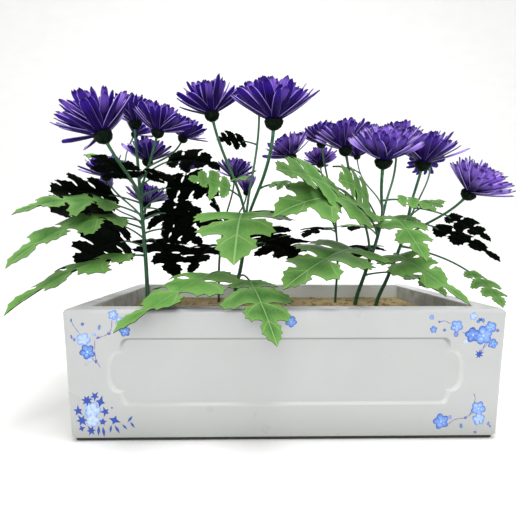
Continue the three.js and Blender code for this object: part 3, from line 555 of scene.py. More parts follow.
# A stem is its foot, radius and way up, in millimetres. A bloom is its number, where its stalk
# leaves the stem, its seat, its lean (azimuth and tilt), its size and its habit. A leaf is the
# stalk it grows on (0 for the stem), its height there, its tip, and its arch, roll, bow and cut.
plants = {
    "leafy_stem_left": dict(
        foot=(-155, 0), radius=2.7, way=[(-158, 0, 172), (-163, 1, 232), (-167, 2, 282)],
        blooms=[
            (1, 222, (-170, -95, 281), (180, 26), 92, {}),
            (2, 276, (-171, 8, 325), (0, 4), 80, {}),
            (3, 226, (-131, -45, 299), (0, 10), 72, {}),
            (4, 214, (-199, 98, 338), (0, 30), 56, {}),
            (5, 250, (-124, 64, 324), (0, 20), 72, {}),
            (6, 234, (-170, 57, 291), (0, 2), 76, {}),
            (7, 204, (-203, 0, 260), (190, 14), 62, {}),
            (8, 192, (-227, 62, 249), (160, 20), 50, {"opening": 0.6, "pale": 0.8}),
            (9, 186, (-180, 85, 238), (0, 6), 72, {}),
            (10, 206, (-124, 95, 288), (0, 10), 52, {}),
        ],
        leaves=[
            (0, 214, (-276, -60, 209), dict(arch=16, roll=-20, blade=0.8, width=0.75)),
            (0, 206, (-264, -90, 156), dict(arch=22, roll=-12, blade=0.82, width=0.75)),
            (0, 166, (-253, -110, 115), dict(arch=16, blade=0.86, width=0.62)),
            (0, 268, (-262, 86, 302), dict(arch=5, width=0.6)),
            (0, 240, (-186, -74, 266), dict(arch=6)),
            (0, 246, (-116, -30, 252), dict(arch=8, roll=-15)),
            (0, 256, (-72, 40, 275), dict(arch=20, roll=-8, blade=0.68, width=1.1)),
            (0, 236, (-74, 45, 243), dict(arch=12, roll=-24, blade=0.7, width=1.15)),
            (0, 208, (-87, 25, 200), dict(arch=14, roll=-34, blade=0.72, width=1.1)),
            (0, 228, (-276, 15, 244), dict(arch=6, roll=25)),
            (0, 198, (-300, 60, 223), dict(arch=6, roll=30)),
            (0, 186, (-252, 40, 198), dict(arch=14, roll=40)),
            (0, 176, (-256, 40, 150), dict(arch=18, roll=40)),
            (0, 192, (-94, 30, 178), dict(arch=12, roll=-40)),
            (0, 222, (-122, 92, 200), dict(arch=10, roll=-20, width=1.1)),
            (0, 182, (-142, 92, 132), dict(arch=22, width=1.1)),
        ]),
    "leafy_stem_middle_thin": dict(
        foot=(-75, 48), radius=1.8, way=[(-73, 40, 165), (-66, 46, 215)],
        blooms=[
            (14, 208, (-55, 70, 272), (0, 4), 68, {}),
            (15, 185, (-38, 32, 247), (90, 6), 50, {"opening": 0.5, "pale": 0.7}),
        ],
        leaves=[
            (0, 134, (-144, -143, 107), dict(arch=27, bow=-34, blade=0.55, width=0.72)),
            (0, 200, (-88, 8, 252), dict(arch=4, roll=-35, blade=0.66, width=0.8)),
            (0, 212, (-98, 122, 204), dict(arch=10, width=1.1)),
            (0, 176, (-122, 108, 136), dict(arch=18)),
            (0, 205, (-22, 112, 196), dict(arch=12, width=1.1)),
        ]),
    "leafy_stem_middle": dict(
        foot=(-55, 10), radius=2.7, way=[(-43, -6, 160), (-38, -10, 212)],
        blooms=[
            (11, 198, (-77, -20, 327), (180, 10), 90, {}),
            (12, 188, (-11, -90, 297), (-90, 10), 96, {}),
            (13, 210, (-22, 42, 356), (90, 4), 82, {}),
        ],
        leaves=[
            (0, 205, (-48, -108, 160), dict(arch=26, blade=0.88, width=1.15)),
            (0, 126, (-11, -150, 97), dict(arch=34, bow=5, blade=0.46, width=0.82)),
            (11, 234, (-102, -30, 251), dict(arch=6, roll=-50, blade=0.8)),
            (11, 252, (-38, -62, 244), dict(arch=3, roll=20, width=0.7)),
            (12, 238, (18, -66, 234), dict(arch=6, roll=25)),
            (13, 305, (-79, 60, 320), dict(arch=3, roll=30, width=0.8)),
            (0, 172, (38, 76, 150), dict(arch=20, roll=-15)),
            (0, 186, (4, 88, 168), dict(arch=20, roll=-10)),
        ]),
    "leafy_stem_right_thin": dict(
        foot=(80, 48), radius=1.8, way=[(82, 45, 160), (78, 42, 215)],
        blooms=[
            (16, 186, (13, -18, 280), (180, 24), 66, {"pale": 0.3}),
            (17, 210, (60, 48, 314), (180, 6), 70, {}),
            (18, 196, (68, 100, 298), (90, 30), 60, {"pale": 0.6}),
        ],
        leaves=[
            (0, 196, (46, 110, 190), dict(arch=10)),
        ]),
    "leafy_stem_right": dict(
        foot=(100, 25), radius=2.7, way=[(108, 10, 145), (118, 0, 184), (131, 8, 228)],
        blooms=[
            (19, 150, (76, -15, 290), (180, 6), 84, {"pale": 0.1}),
            (20, 196, (92, -95, 259), (-90, 20), 88, {"pale": 0.2}),
            (21, 222, (160, 50, 309), (90, 4), 84, {}),
            (24, 205, (127, 118, 314), (90, 14), 56, {}),
        ],
        leaves=[
            (0, 190, (-13, -105, 204), dict(arch=29, bow=-16, roll=-36, blade=0.75, width=0.8)),
            (0, 202, (59, -55, 246), dict(arch=14.4, roll=-68, blade=0.7)),
            (0, 160, (-4, -115, 139), dict(arch=24.7, bow=-16, roll=-14, blade=0.6)),
            (0, 196, (-9, -100, 248), dict(arch=16.4, roll=-44, blade=0.56)),
            (0, 194, (132, -100, 163), dict(arch=29.8, bow=7.5, blade=0.56)),
            (0, 142, (172, -60, 125), dict(arch=11.6, bow=-13.3, blade=0.66, width=0.7)),
            (20, 226, (160, -62, 212), dict(arch=6, roll=30, width=0.8)),
            (24, 285, (96, 142, 302), dict(arch=4)),
            (0, 190, (114, 98, 200), dict(arch=10)),
            (0, 172, (116, 92, 158), dict(arch=12)),
        ]),
    "leafy_stem_right_outer": dict(
        foot=(125, 20), radius=2.6, way=[(136, 10, 140), (149, 0, 184), (157, -10, 235)],
        blooms=[
            (22, 228, (164, -20, 274), (-70, 16), 96, {"pale": 0.1}),
            (23, 190, (213, 75, 297), (80, 60), 64, {}),
            (25, 176, (195, -60, 234), (-50, 38), 84, {"pale": 0.5}),
        ],
        leaves=[
            (0, 164, (178, -95, 121), dict(arch=21.7, bow=31.6, roll=14, blade=0.66, width=0.85)),
            (0, 178, (212, -90, 118), dict(arch=7, bow=-31, blade=0.42, width=0.6)),
            (23, 224, (277, 30, 184), dict(arch=8, roll=-25, blade=0.6, width=0.42)),
            (0, 208, (256, -20, 160), dict(arch=8, roll=-25, width=0.4)),
            (23, 216, (215, 30, 236), dict(arch=4, roll=20, width=0.7)),
        ]),
}


def smooth_way(knots, steps=12):
    """A curve through points, even where they are unevenly spaced."""
    knots = [np.array(knot, dtype=float) for knot in knots]
    ends = [2 * knots[0] - knots[1], *knots, 2 * knots[-1] - knots[-2]]
    curve = []
    for p0, p1, p2, p3 in zip(ends, ends[1:], ends[2:], ends[3:]):
        d0, d1, d2 = [math.sqrt(np.linalg.norm(b - a)) for a, b in ((p0, p1), (p1, p2), (p2, p3))]
        leave = ((p1 - p0) / d0 - (p2 - p0) / (d0 + d1) + (p2 - p1) / d1) * d1
        arrive = ((p2 - p1) / d1 - (p3 - p1) / (d1 + d2) + (p3 - p2) / d2) * d1
        for t in np.linspace(0, 1, steps + 1)[:-1]:
            curve.append(p1 + leave * t + (3 * (p2 - p1) - 2 * leave - arrive) * t * t
                         + (2 * (p1 - p2) + leave + arrive) * t ** 3)
    return np.array(curve + [knots[-1]])


def tube(points, radii, sides=12, ribs=0.0, finish=0):
    """A closed rod along points, with shallow ribs; returns points, faces and finishes."""
    ways = np.gradient(points, axis=0)
    ways /= np.linalg.norm(ways, axis=1)[:, None]
    across = np.array((0.0, 1.0, 0.0)) if abs(ways[0][0]) > 0.9 else np.array((1.0, 0.0, 0.0))
    angles = np.linspace(0, 2 * math.pi, sides, endpoint=False)
    swell = 1 + ribs * np.cos(6 * angles)
    rings = []
    for point, way, radius in zip(points, ways, radii):
        across = across - way * across.dot(way)
        across /= np.linalg.norm(across)
        up = np.cross(way, across)
        rings.append(point + radius * swell[:, None] * (np.cos(angles)[:, None] * across
                                                         + np.sin(angles)[:, None] * up))
    last = (len(points) - 1) * sides
    faces = [(r * sides + i, r * sides + (i + 1) % sides, (r + 1) * sides + (i + 1) % sides,
              (r + 1) * sides + i) for r in range(len(points) - 1) for i in range(sides)]
    faces += [tuple(range(sides - 1, -1, -1)), tuple(range(last, last + sides))]
    return np.concatenate(rings), faces, [finish] * len(faces)


def at_height(points, height):
    """The point at a height on a rising curve, and the way the curve runs there."""
    i = min(max(int(np.searchsorted(points[:, 2], height)), 1), len(points) - 1)
    below, above = points[i - 1], points[i]
    share = (height - below[2]) / (above[2] - below[2])
    return below + (above - below) * share, (above - below) / np.linalg.norm(above - below)


def direction(azimuth, tilt):
    """The unit vector at an azimuth, tilted so many degrees from upright."""
    around, off = math.radians(azimuth), math.radians(tilt)
    return np.array((math.sin(off) * math.cos(around), math.sin(off) * math.sin(around), math.cos(off)))


def stalk_way(stem, start_height, seat, lean):
    """A stalk leaves the stem the way it grows and arrives along the bloom's own axis."""
    start, along = at_height(stem, start_height)
    seat, axis = np.array(seat, dtype=float), direction(*lean)
    reach = np.linalg.norm(seat - start)
    first, second = start + along * reach * 0.3, seat - axis * reach * 0.4
    t = np.linspace(0, 1, 33)[:, None]
    return ((1 - t) ** 3 * start + 3 * t * (1 - t) ** 2 * first
            + 3 * t * t * (1 - t) * second + t ** 3 * seat), axis


# One green cup: a rounded bowl of overlapping pointed scales that closes round the petals'
# feet. Rows are a height and a radius, as shares of the cup's own. A scale is a place along it
# and its half width there, and it reaches from its foot over 62 % of the cup.
scale_shape = [(0.0, 0.22), (0.4, 0.3), (0.8, 0.17), (1.05, 0.02)]
scale_feet, scale_reach, scales_round = (0.05, 0.35), 0.62, 11
cup_rows = [(0.0, 0.2), (0.08, 0.46), (0.22, 0.68), (0.42, 0.85), (0.7, 0.97), (0.92, 1.0), (1.0, 0.9)]


def cup(seat, axis, stalk_radius, size, chance):
    """The cup's bowl and its scales: points, faces and finishes."""
    height, radius = size * 0.11, size * 0.0875
    points = np.array([seat - axis * height * (1 - h) for h, r in cup_rows])
    bowl, faces, finishes = tube(points, [max(radius * r, stalk_radius) for h, r in cup_rows], 16, 0, 1)
    bowl, faces, finishes = list(bowl), list(faces), list(finishes)
    side = np.cross(axis, (0.0, 1.0, 0.0))
    side /= np.linalg.norm(side)
    other = np.cross(axis, side)
    for level, foot_share in enumerate(scale_feet):
        for number in range(scales_round):
            angle = 2 * math.pi * (number + 0.5 * level + 0.2 * chance.random()) / scales_round
            out = side * math.cos(angle) + other * math.sin(angle)
            beside = np.cross(axis, out)
            start = len(bowl)
            for h, half in scale_shape:
                share = foot_share + scale_reach * h
                bulge = np.interp(share, [r[0] for r in cup_rows], [r[1] for r in cup_rows])
                proud = 1 + 0.07 * math.sin(math.pi * min(h, 1)) + 0.05 * h
                middle = seat - axis * height * (1 - share) + out * radius * bulge * proud
                bowl += [middle - beside * radius * half, middle + out * radius * 0.05,
                         middle + beside * radius * half, middle - out * radius * 0.08]
            for row in range(3):
                for i in range(4):
                    a, b = start + row * 4 + i, start + row * 4 + (i + 1) % 4
                    faces.append((a, b, b + 4, a + 4))
            faces += [(start + 3, start + 2, start + 1, start), tuple(range(start + 12, start + 16))]
            finishes += [1] * 14
    return np.array(bowl), faces, finishes


# The leaf: soft, thin, and cut into two pairs of toothed side lobes and an end lobe, with a
# vein to each lobe. Half its outline, as the place along the midrib and the distance from it,
# both as shares of the blade's length.
leaf_edge = [
    (0.0, 0.016), (0.015, 0.06), (0.02, 0.13), (0.008, 0.19), (0.045, 0.205), (0.045, 0.27),
    (0.085, 0.28), (0.09, 0.345), (0.13, 0.35), (0.16, 0.4), (0.19, 0.365), (0.235, 0.37),
    (0.238, 0.305), (0.27, 0.28), (0.25, 0.22), (0.243, 0.16), (0.252, 0.105), (0.265, 0.075),
    (0.283, 0.1), (0.292, 0.16), (0.287, 0.215), (0.272, 0.265), (0.315, 0.29), (0.312, 0.355),
    (0.355, 0.375), (0.362, 0.44), (0.405, 0.44), (0.445, 0.48), (0.475, 0.435), (0.52, 0.425),
    (0.51, 0.365), (0.548, 0.335), (0.526, 0.27), (0.518, 0.2), (0.523, 0.14), (0.535, 0.09),
    (0.555, 0.11), (0.562, 0.165), (0.56, 0.22), (0.602, 0.235), (0.615, 0.285), (0.66, 0.28),
    (0.705, 0.31), (0.722, 0.265), (0.765, 0.248), (0.752, 0.195), (0.755, 0.14), (0.767, 0.095),
    (0.79, 0.1), (0.812, 0.148), (0.85, 0.132), (0.885, 0.15), (0.905, 0.108), (0.945, 0.1),
    (0.957, 0.055), (1.0, 0.0),
]
leaf_veins = [((0.0, 0.0), (0.15, 0.37)), ((0.22, 0.0), (0.43, 0.45)), ((0.5, 0.0), (0.68, 0.28)),
              ((0.74, 0.0), (0.87, 0.13))]


def distance_to(points, start, end):
    """How far points in the plane lie from a straight line between two others."""
    start, end = np.array(start), np.array(end)
    share = np.clip((points - start).dot(end - start) / (end - start).dot(end - start), 0, 1)
    return np.linalg.norm(points - start - share[:, None] * (end - start), axis=1)


def leaf_pattern():
    """The flat leaf: points, triangles, rim order, nearness to a vein and to the rim."""
    right = [Vector(point) for point in leaf_edge]
    outline = right + [Vector((x, -y)) for x, y in leaf_edge[-2::-1]]
    corners = list(outline)
    edges = [(i, (i + 1) % len(outline)) for i in range(len(outline))]
    rib = [Vector((x, 0.0)) for x in np.arange(0.0, 0.97, 0.035)]
    start = len(corners)
    corners += rib
    edges += [(start + i, start + i + 1) for i in range(len(rib) - 1)]
    veins = [((0.0, 0.0), (1.0, 0.0))]
    for foot_end, tip_end in leaf_veins:
        for side in (1, -1):
            ends = [np.array(foot_end) * (1, side), np.array(tip_end) * (1, side)]
            veins.append(tuple(map(tuple, ends)))
            start = len(corners)
            steps = max(2, int(np.linalg.norm(ends[1] - ends[0]) / 0.05))
            corners += [Vector(ends[0] + (ends[1] - ends[0]) * t) for t in np.linspace(0, 1, steps + 1)]
            edges += [(start + i, start + i + 1) for i in range(steps)]
    ring = np.array([tuple(p) for p in outline])
    grid = np.array([(x + 0.0225 * (row % 2), row * 0.04) for row in range(-12, 13)
                     for x in np.arange(0.02, 1.0, 0.045)])
    crossings = np.zeros(len(grid), dtype=int)
    rim_distance = np.full(len(grid), 9.0)
    for a, b in zip(ring, np.roll(ring, -1, axis=0)):
        rim_distance = np.minimum(rim_distance, distance_to(grid, a, b))
        over = (a[1] > grid[:, 1]) != (b[1] > grid[:, 1])
        level = np.where(over, grid[:, 1] - a[1], 0) / (b[1] - a[1] if b[1] != a[1] else 1)
        crossings += over & (grid[:, 0] < a[0] + level * (b[0] - a[0]))
    vein_distance = np.min([distance_to(grid, *vein) for vein in veins], axis=0)
    keep = (crossings % 2 == 1) & (rim_distance > 0.016) & (vein_distance > 0.016)
    corners += [Vector(point) for point in grid[keep]]
    points, _, faces, _, _, _ = geometry.delaunay_2d_cdt(corners, edges, [], 1, 1e-5)
    points = np.array([tuple(point) for point in points])
    faces = np.array(faces)
    near_vein = np.min([distance_to(points, *vein) for vein in veins], axis=0)
    rim_lines = zip(ring, np.roll(ring, -1, axis=0))
    near_rim = np.min([distance_to(points, a, b) for a, b in rim_lines], axis=0)
    sides = [(a, b) for face in faces for a, b in zip(face, np.roll(face, -1))]
    shared = set(sides)
    single = [(a, b) for a, b in sides if (b, a) not in shared]
    return points, faces, np.array(single), near_vein, near_rim


leaf_points, leaf_faces, leaf_rim, leaf_vein, leaf_margin = leaf_pattern()


def make_leaf(root, tip, chance, arch, roll=0, blade=0.72, width=1, bow=0):
    """A leaf's blade and its petiole: points, faces, finishes, marks and tones of each."""
    root, tip = np.array(root), np.array(tip, dtype=float)
    level = np.cross(tip - root, (0, 0, 1))
    level /= np.linalg.norm(level)
    middle = (root + tip) / 2 + np.array((0, 0, arch * 2.0)) + level * bow * 2

    def curve(t):
        t = np.asarray(t, dtype=float)[:, None]
        spot = (1 - t) ** 2 * root + 2 * t * (1 - t) * middle + t * t * tip
        forward = 2 * (1 - t) * (middle - root) + 2 * t * (tip - middle)
        forward /= np.linalg.norm(forward, axis=1)[:, None]
        beside = np.cross(forward, (0, 0, 1))
        beside /= np.linalg.norm(beside, axis=1)[:, None]
        rolled = math.radians(roll)
        beside = beside * math.cos(rolled) + np.cross(forward, beside) * math.sin(rolled)
        return spot, forward, beside, np.cross(beside, forward)

    line = curve(np.linspace(0, 1, 101))[0]
    length = blade * np.linalg.norm(np.diff(line, axis=0), axis=1).sum()
    along, out = leaf_points.T.copy()
    shift, phase = chance.random(4), chance.random(4) * 6.3
    uneven = 0.1 * np.sin(8 * along + phase[0])
    uneven = uneven + 0.07 * np.sin(15 * along + phase[1] + 2 * np.sign(out))
    out = out * (1 + uneven)
    along = along + 0.02 * np.sin(9 * out + phase[2]) * np.minimum(1, 4 * np.abs(out))
    spot, forward, beside, normal = curve(1 - blade + np.clip(along, 0, 1.02) * blade)
    fold = (0.16 * np.abs(out) - 0.5 * out ** 2) * length
    wave = 0.014 * length * np.sin(16 * along + phase[3] * np.sign(out + 1e-6))
    wave = wave * np.minimum(1, np.abs(out) / 0.2)
    groove = 0.006 * length * np.exp(-(leaf_vein / 0.02) ** 2)
    quilt = fold + wave - groove
    surface = spot + beside * (out * length * width)[:, None] + normal * quilt[:, None]
    half = 0.28  # half the thickness of the blade
    points = np.concatenate([surface + normal * half, surface - normal * half])
    count = len(leaf_points)
    faces = [tuple(face) for face in leaf_faces.tolist()]
    faces += [(a + count, c + count, b + count) for a, b, c in leaf_faces.tolist()]
    faces += [(b, a, a + count, b + count) for a, b in leaf_rim.tolist()]
    # Finish 3, on the back and the rim, is the underside, near black as painted shade.
    finishes = [2] * len(leaf_faces) + [3] * (len(leaf_faces) + len(leaf_rim))
    tone = 0.15 + 0.7 * shift[0]
    marks = np.stack([leaf_points[:, 0], np.abs(leaf_points[:, 1]), leaf_margin], axis=1)
    blade_part = (points, faces, finishes, np.concatenate([marks, marks]), np.full(2 * count, tone))

    stations = np.concatenate([np.linspace(0, 1 - blade, 9),
                               1 - blade + blade * np.linspace(0.08, 0.85, 9)])
    spot, forward, beside, normal = curve(stations)
    radii = np.interp(stations, [0, 0.04, 1 - blade, 1 - blade + 0.3 * blade, 1 - 0.15 * blade],
                      [1.7, 1.15, 0.95, 0.55, 0.2])
    drop = np.where(stations > 1 - blade + 1e-6, 0.3 + radii * 0.75 + 0.006 * length, 0.0)
    rib, rib_faces, _ = tube(spot - normal * drop[:, None], radii, 8)
    rib_finishes = [3 if max(face) // 8 > 9 else 0 for face in rib_faces]
    rib_marks = np.tile((0.1, 0.3, 0.5), (len(rib), 1))
    return [blade_part, (rib, rib_faces, rib_finishes, rib_marks, np.full(len(rib), 0.2))]


def fuse(name, parts, materials, crease=50):
    """One piece from several parts of points, faces, finishes, leaf marks and tones."""
    faces, finishes, start = [], [], 0
    for points, part_faces, part_finishes, _, _ in parts:
        faces += [tuple(start + i for i in face) for face in part_faces]
        finishes += list(part_finishes)
        start += len(points)
    return make_piece(name, np.concatenate([part[0] for part in parts]), faces, materials, finishes,
                      crease, leaf_place=np.concatenate([part[3] for part in parts]),
                      tone=np.concatenate([part[4] for part in parts]))


# Stem rind: tough, smooth and slightly waxy, deep blue-green with paler streaks. They are drawn
# 1.4 mm wide so that they show, and about eight times as long.
rind, tree, shader = new_material("waxy_stem_rind", 0.5, 1.45)
place = add_node(tree, "NewGeometry")
stretched = add_node(tree, "Mapping", {0: place, "Scale": (1.0, 1.0, 1 / 8.3)})
streak = add_node(tree, "TexNoise", {"Vector": stretched, "Scale": 1000 / 1.43, "Detail": 3.0})
streaky = add_node(tree, "MapRange", {"Value": streak, 1: 0.35, 2: 0.65})
green = add_node(tree, "Mix", {0: streaky, 6: "#17412a", 7: "#316c46"}, data_type="RGBA")
bump = add_node(tree, "Bump", {"Height": streak, "Strength": 0.25, "Distance": 0.0006})
fill(tree, shader, {"Base Color": green, "Normal": bump})

# Cup scales: leathery, lighter in dry patches about 4 mm wide, and almost black green as painted
# shade, for the shade under the bloom.
cup_skin_painted_shade, tree, shader = new_material("cup_scale_in_painted_shade", 0.6, 1.4, 0.1)
place = add_node(tree, "NewGeometry")
skin = add_node(tree, "TexNoise", {"Vector": place, "Scale": 1000 / 3.85, "Detail": 3.0})
skinned = add_node(tree, "MapRange", {"Value": skin, 1: 0.4, 2: 0.72})
cup_painted_shade_colour = add_node(tree, "Mix", {0: skinned, 6: "#030a05", 7: "#0c1d12"}, data_type="RGBA")
fill(tree, shader, {"Base Color": cup_painted_shade_colour})

# Upper side of the leaf: matt mid green in blotches 17 mm wide, that lightens to yellow-green at
# the margin, with pale veins and a net between them. The net is laid out in shares of a blade
# 90 mm long, with meshes drawn 3.5 mm wide so that they show.
net_scale = 90 / 3.46
leaf_top, tree, shader = new_material("leaf_upper_side", 0.6, 1.42, 0.25)
marks = add_node(tree, "Attribute", attribute_name="leaf_place").outputs["Vector"]
axes = add_node(tree, "SeparateXYZ", {0: marks})
plane = add_node(tree, "CombineXYZ", {"X": axes.outputs["X"], "Y": axes.outputs["Y"]})
tone = add_node(tree, "Attribute", attribute_name="tone").outputs["Fac"]
vein = add_node(tree, "MapRange", {"Value": axes.outputs["Y"], 1: 0.002, 2: 0.01, 3: 0.85, 4: 0.0})
for (x0, y0), (x1, y1) in leaf_veins:
    span = math.hypot(x1 - x0, y1 - y0)
    way = ((x1 - x0) / span, (y1 - y0) / span, 0)
    shifted = add_node(tree, "VectorMath", {0: plane, 1: (x0, y0, 0)}, operation="SUBTRACT")
    gap = add_node(tree, "VectorMath", {0: shifted, 1: (-way[1], way[0], 0)},
                   operation="DOT_PRODUCT")
    gap = add_node(tree, "Math", {0: gap}, operation="ABSOLUTE")
    reach = add_node(tree, "VectorMath", {0: shifted, 1: way}, operation="DOT_PRODUCT")
    near = add_node(tree, "MapRange", {"Value": gap, 1: 0.001, 2: 0.007, 3: 0.6, 4: 0.0})
    within = add_node(tree, "MapRange", {"Value": reach, 1: span * 0.8, 2: span * 1.05,
                                         3: 1.0, 4: 0.0})
    near = add_node(tree, "Math", {0: near, 1: within}, operation="MULTIPLY")
    vein = add_node(tree, "Math", {0: vein, 1: near}, operation="MAXIMUM")
position = add_node(tree, "NewGeometry")
blotch = add_node(tree, "TexNoise", {"Vector": position, "Scale": 1000 / 16.7, "Detail": 4.0})
shade = add_node(tree, "Math", {0: blotch, 1: tone}, operation="ADD")
shade = add_node(tree, "MapRange", {"Value": shade, 1: 0.55, 2: 1.45})
blade_green = add_node(tree, "Mix", {0: shade, 6: "#316424", 7: "#558b3a"}, data_type="RGBA")
margin = add_node(tree, "MapRange", {"Value": axes.outputs["Z"], 1: 0.0, 2: 0.11, 3: 0.7, 4: 0.0})
edged = add_node(tree, "Mix", {0: margin, 6: blade_green, 7: "#739f4f"}, data_type="RGBA")
net = add_node(tree, "TexVoronoi", {"Vector": plane, "Scale": net_scale}, feature="DISTANCE_TO_EDGE")
netted = add_node(tree, "MapRange", {"Value": net, 1: 0.0, 2: 0.1, 3: 0.14, 4: 0.0})
lines = add_node(tree, "Math", {0: vein, 1: netted}, operation="MAXIMUM")
veined = add_node(tree, "Mix", {0: lines, 6: edged, 7: "#8fb371"}, data_type="RGBA")
bump = add_node(tree, "Bump", {"Height": lines, "Strength": 0.25, "Distance": 0.0008}, invert=True)
fill(tree, shader, {"Base Color": veined, "Normal": bump})

# Underside: matt, with the net faintly raised, and near-black green as painted shade, for a side
# that faces down out of the light.
leaf_under_painted_shade, tree, shader = new_material("leaf_underside_in_painted_shade", 0.9, 1.35, 0.05)
marks = add_node(tree, "Attribute", attribute_name="leaf_place").outputs["Vector"]
axes = add_node(tree, "SeparateXYZ", {0: marks})
plane = add_node(tree, "CombineXYZ", {"X": axes.outputs["X"], "Y": axes.outputs["Y"]})
net = add_node(tree, "TexVoronoi", {"Vector": plane, "Scale": net_scale}, feature="DISTANCE_TO_EDGE")
netted = add_node(tree, "MapRange", {"Value": net, 1: 0.0, 2: 0.1, 3: 1.0, 4: 0.0})
underside_painted_shade = add_node(tree, "Mix", {0: netted, 6: "#030603", 7: "#091309"}, data_type="RGBA")
bump = add_node(tree, "Bump", {"Height": netted, "Strength": 0.3, "Distance": 0.0006})
fill(tree, shader, {"Base Color": underside_painted_shade, "Normal": bump})


def plain(points, faces, finishes):
    """A part of a stem, with the marks and the tone of leaf tissue left at nothing."""
    return points, faces, finishes, np.zeros((len(points), 3)), np.zeros(len(points))


rooted = 45  # how deep a stem stands in the soil
bloom_seats = []
for number, (name, plant) in enumerate(plants.items()):
    chance = np.random.default_rng(40 + number)
    x, y = plant["foot"]
    stem = smooth_way([(x, y, soil_level - rooted), (x, y, soil_level), *plant["way"]])
    share = np.linspace(0, 1, len(stem))
    parts = [plain(*tube(stem, plant["radius"] * (1 - 0.35 * share), 18, 0.05))]
    stalks = {0: stem}
    for key, start_height, seat, lean_angles, size, habit in plant["blooms"]:
        way, axis = stalk_way(stem, start_height, seat, lean_angles)
        stalks[key] = way
        radius = max(size * 0.017, 0.95)
        left = np.append(np.linalg.norm(np.diff(way, axis=0), axis=1)[::-1].cumsum()[::-1], 0)
        way = way[left > size * 0.05]
        radii = radius * np.interp(np.arange(len(way)), [0, 2, len(way) - 3, len(way) - 1],
                                   [1.35, 1.0, 1.0, 1.2])
        parts.append(plain(*tube(way, radii, 12, 0.04)))
        parts.append(plain(*cup(np.array(seat, dtype=float), axis, radius, size, chance)))
        bloom_seats.append((key, np.array(seat) + axis * 0.3, axis, size, habit))
    for carrier, height, tip, shape in plant["leaves"]:
        root = at_height(stalks[carrier], height)[0]
        parts += make_leaf(root, tip, chance, **shape)
    greenery = fuse("growth_" + name, parts, [rind, cup_skin_painted_shade, leaf_top, leaf_under_painted_shade])
    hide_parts(name)


# The blooms: double asters of 64 to 84 narrow strap petals, set in a spiral on the head so that
# the outer ones spread and the inner ones stand. Each petal is channelled, blunt and toothed at
# its tip, lilac inside, pale along its edges, and near-black indigo on its back as painted shade.
petal_stations = np.array([0, 0.06, 0.16, 0.3, 0.45, 0.6, 0.74, 0.86, 0.94, 0.98, 1.0])
petal_widths = np.interp(petal_stations, [0, 0.16, 0.4, 0.62, 0.8, 0.9, 0.96, 1],
                         [0.75, 0.9, 1.0, 1.0, 0.97, 0.84, 0.62, 0.24])
petal_lanes = np.array([-1, -0.55, 0, 0.55, 1])


def petal_faces():
    """The faces of one petal: its inside, its back and the strip round its edge."""
    rows, lanes = len(petal_stations), len(petal_lanes)
    count = rows * lanes
    inside = [(r * lanes + c, r * lanes + c + 1, (r + 1) * lanes + c + 1, (r + 1) * lanes + c)
              for r in range(rows - 1) for c in range(lanes - 1)]
    back = [tuple(count + i for i in face[::-1]) for face in inside]
    loop = list(range(lanes)) + [r * lanes + lanes - 1 for r in range(1, rows)]
    loop += [(rows - 1) * lanes + c for c in range(lanes - 2, -1, -1)]
    loop += [r * lanes for r in range(rows - 2, 0, -1)]
    strip = [(loop[(i + 1) % len(loop)], loop[i], loop[i] + count, loop[(i + 1) % len(loop)] + count)
             for i in range(len(loop))]
    return inside + back + strip, [0] * len(inside) + [1] * len(back) + [0] * len(strip)


one_petal, one_finish = petal_faces()
petal_points = 2 * len(petal_stations) * len(petal_lanes)


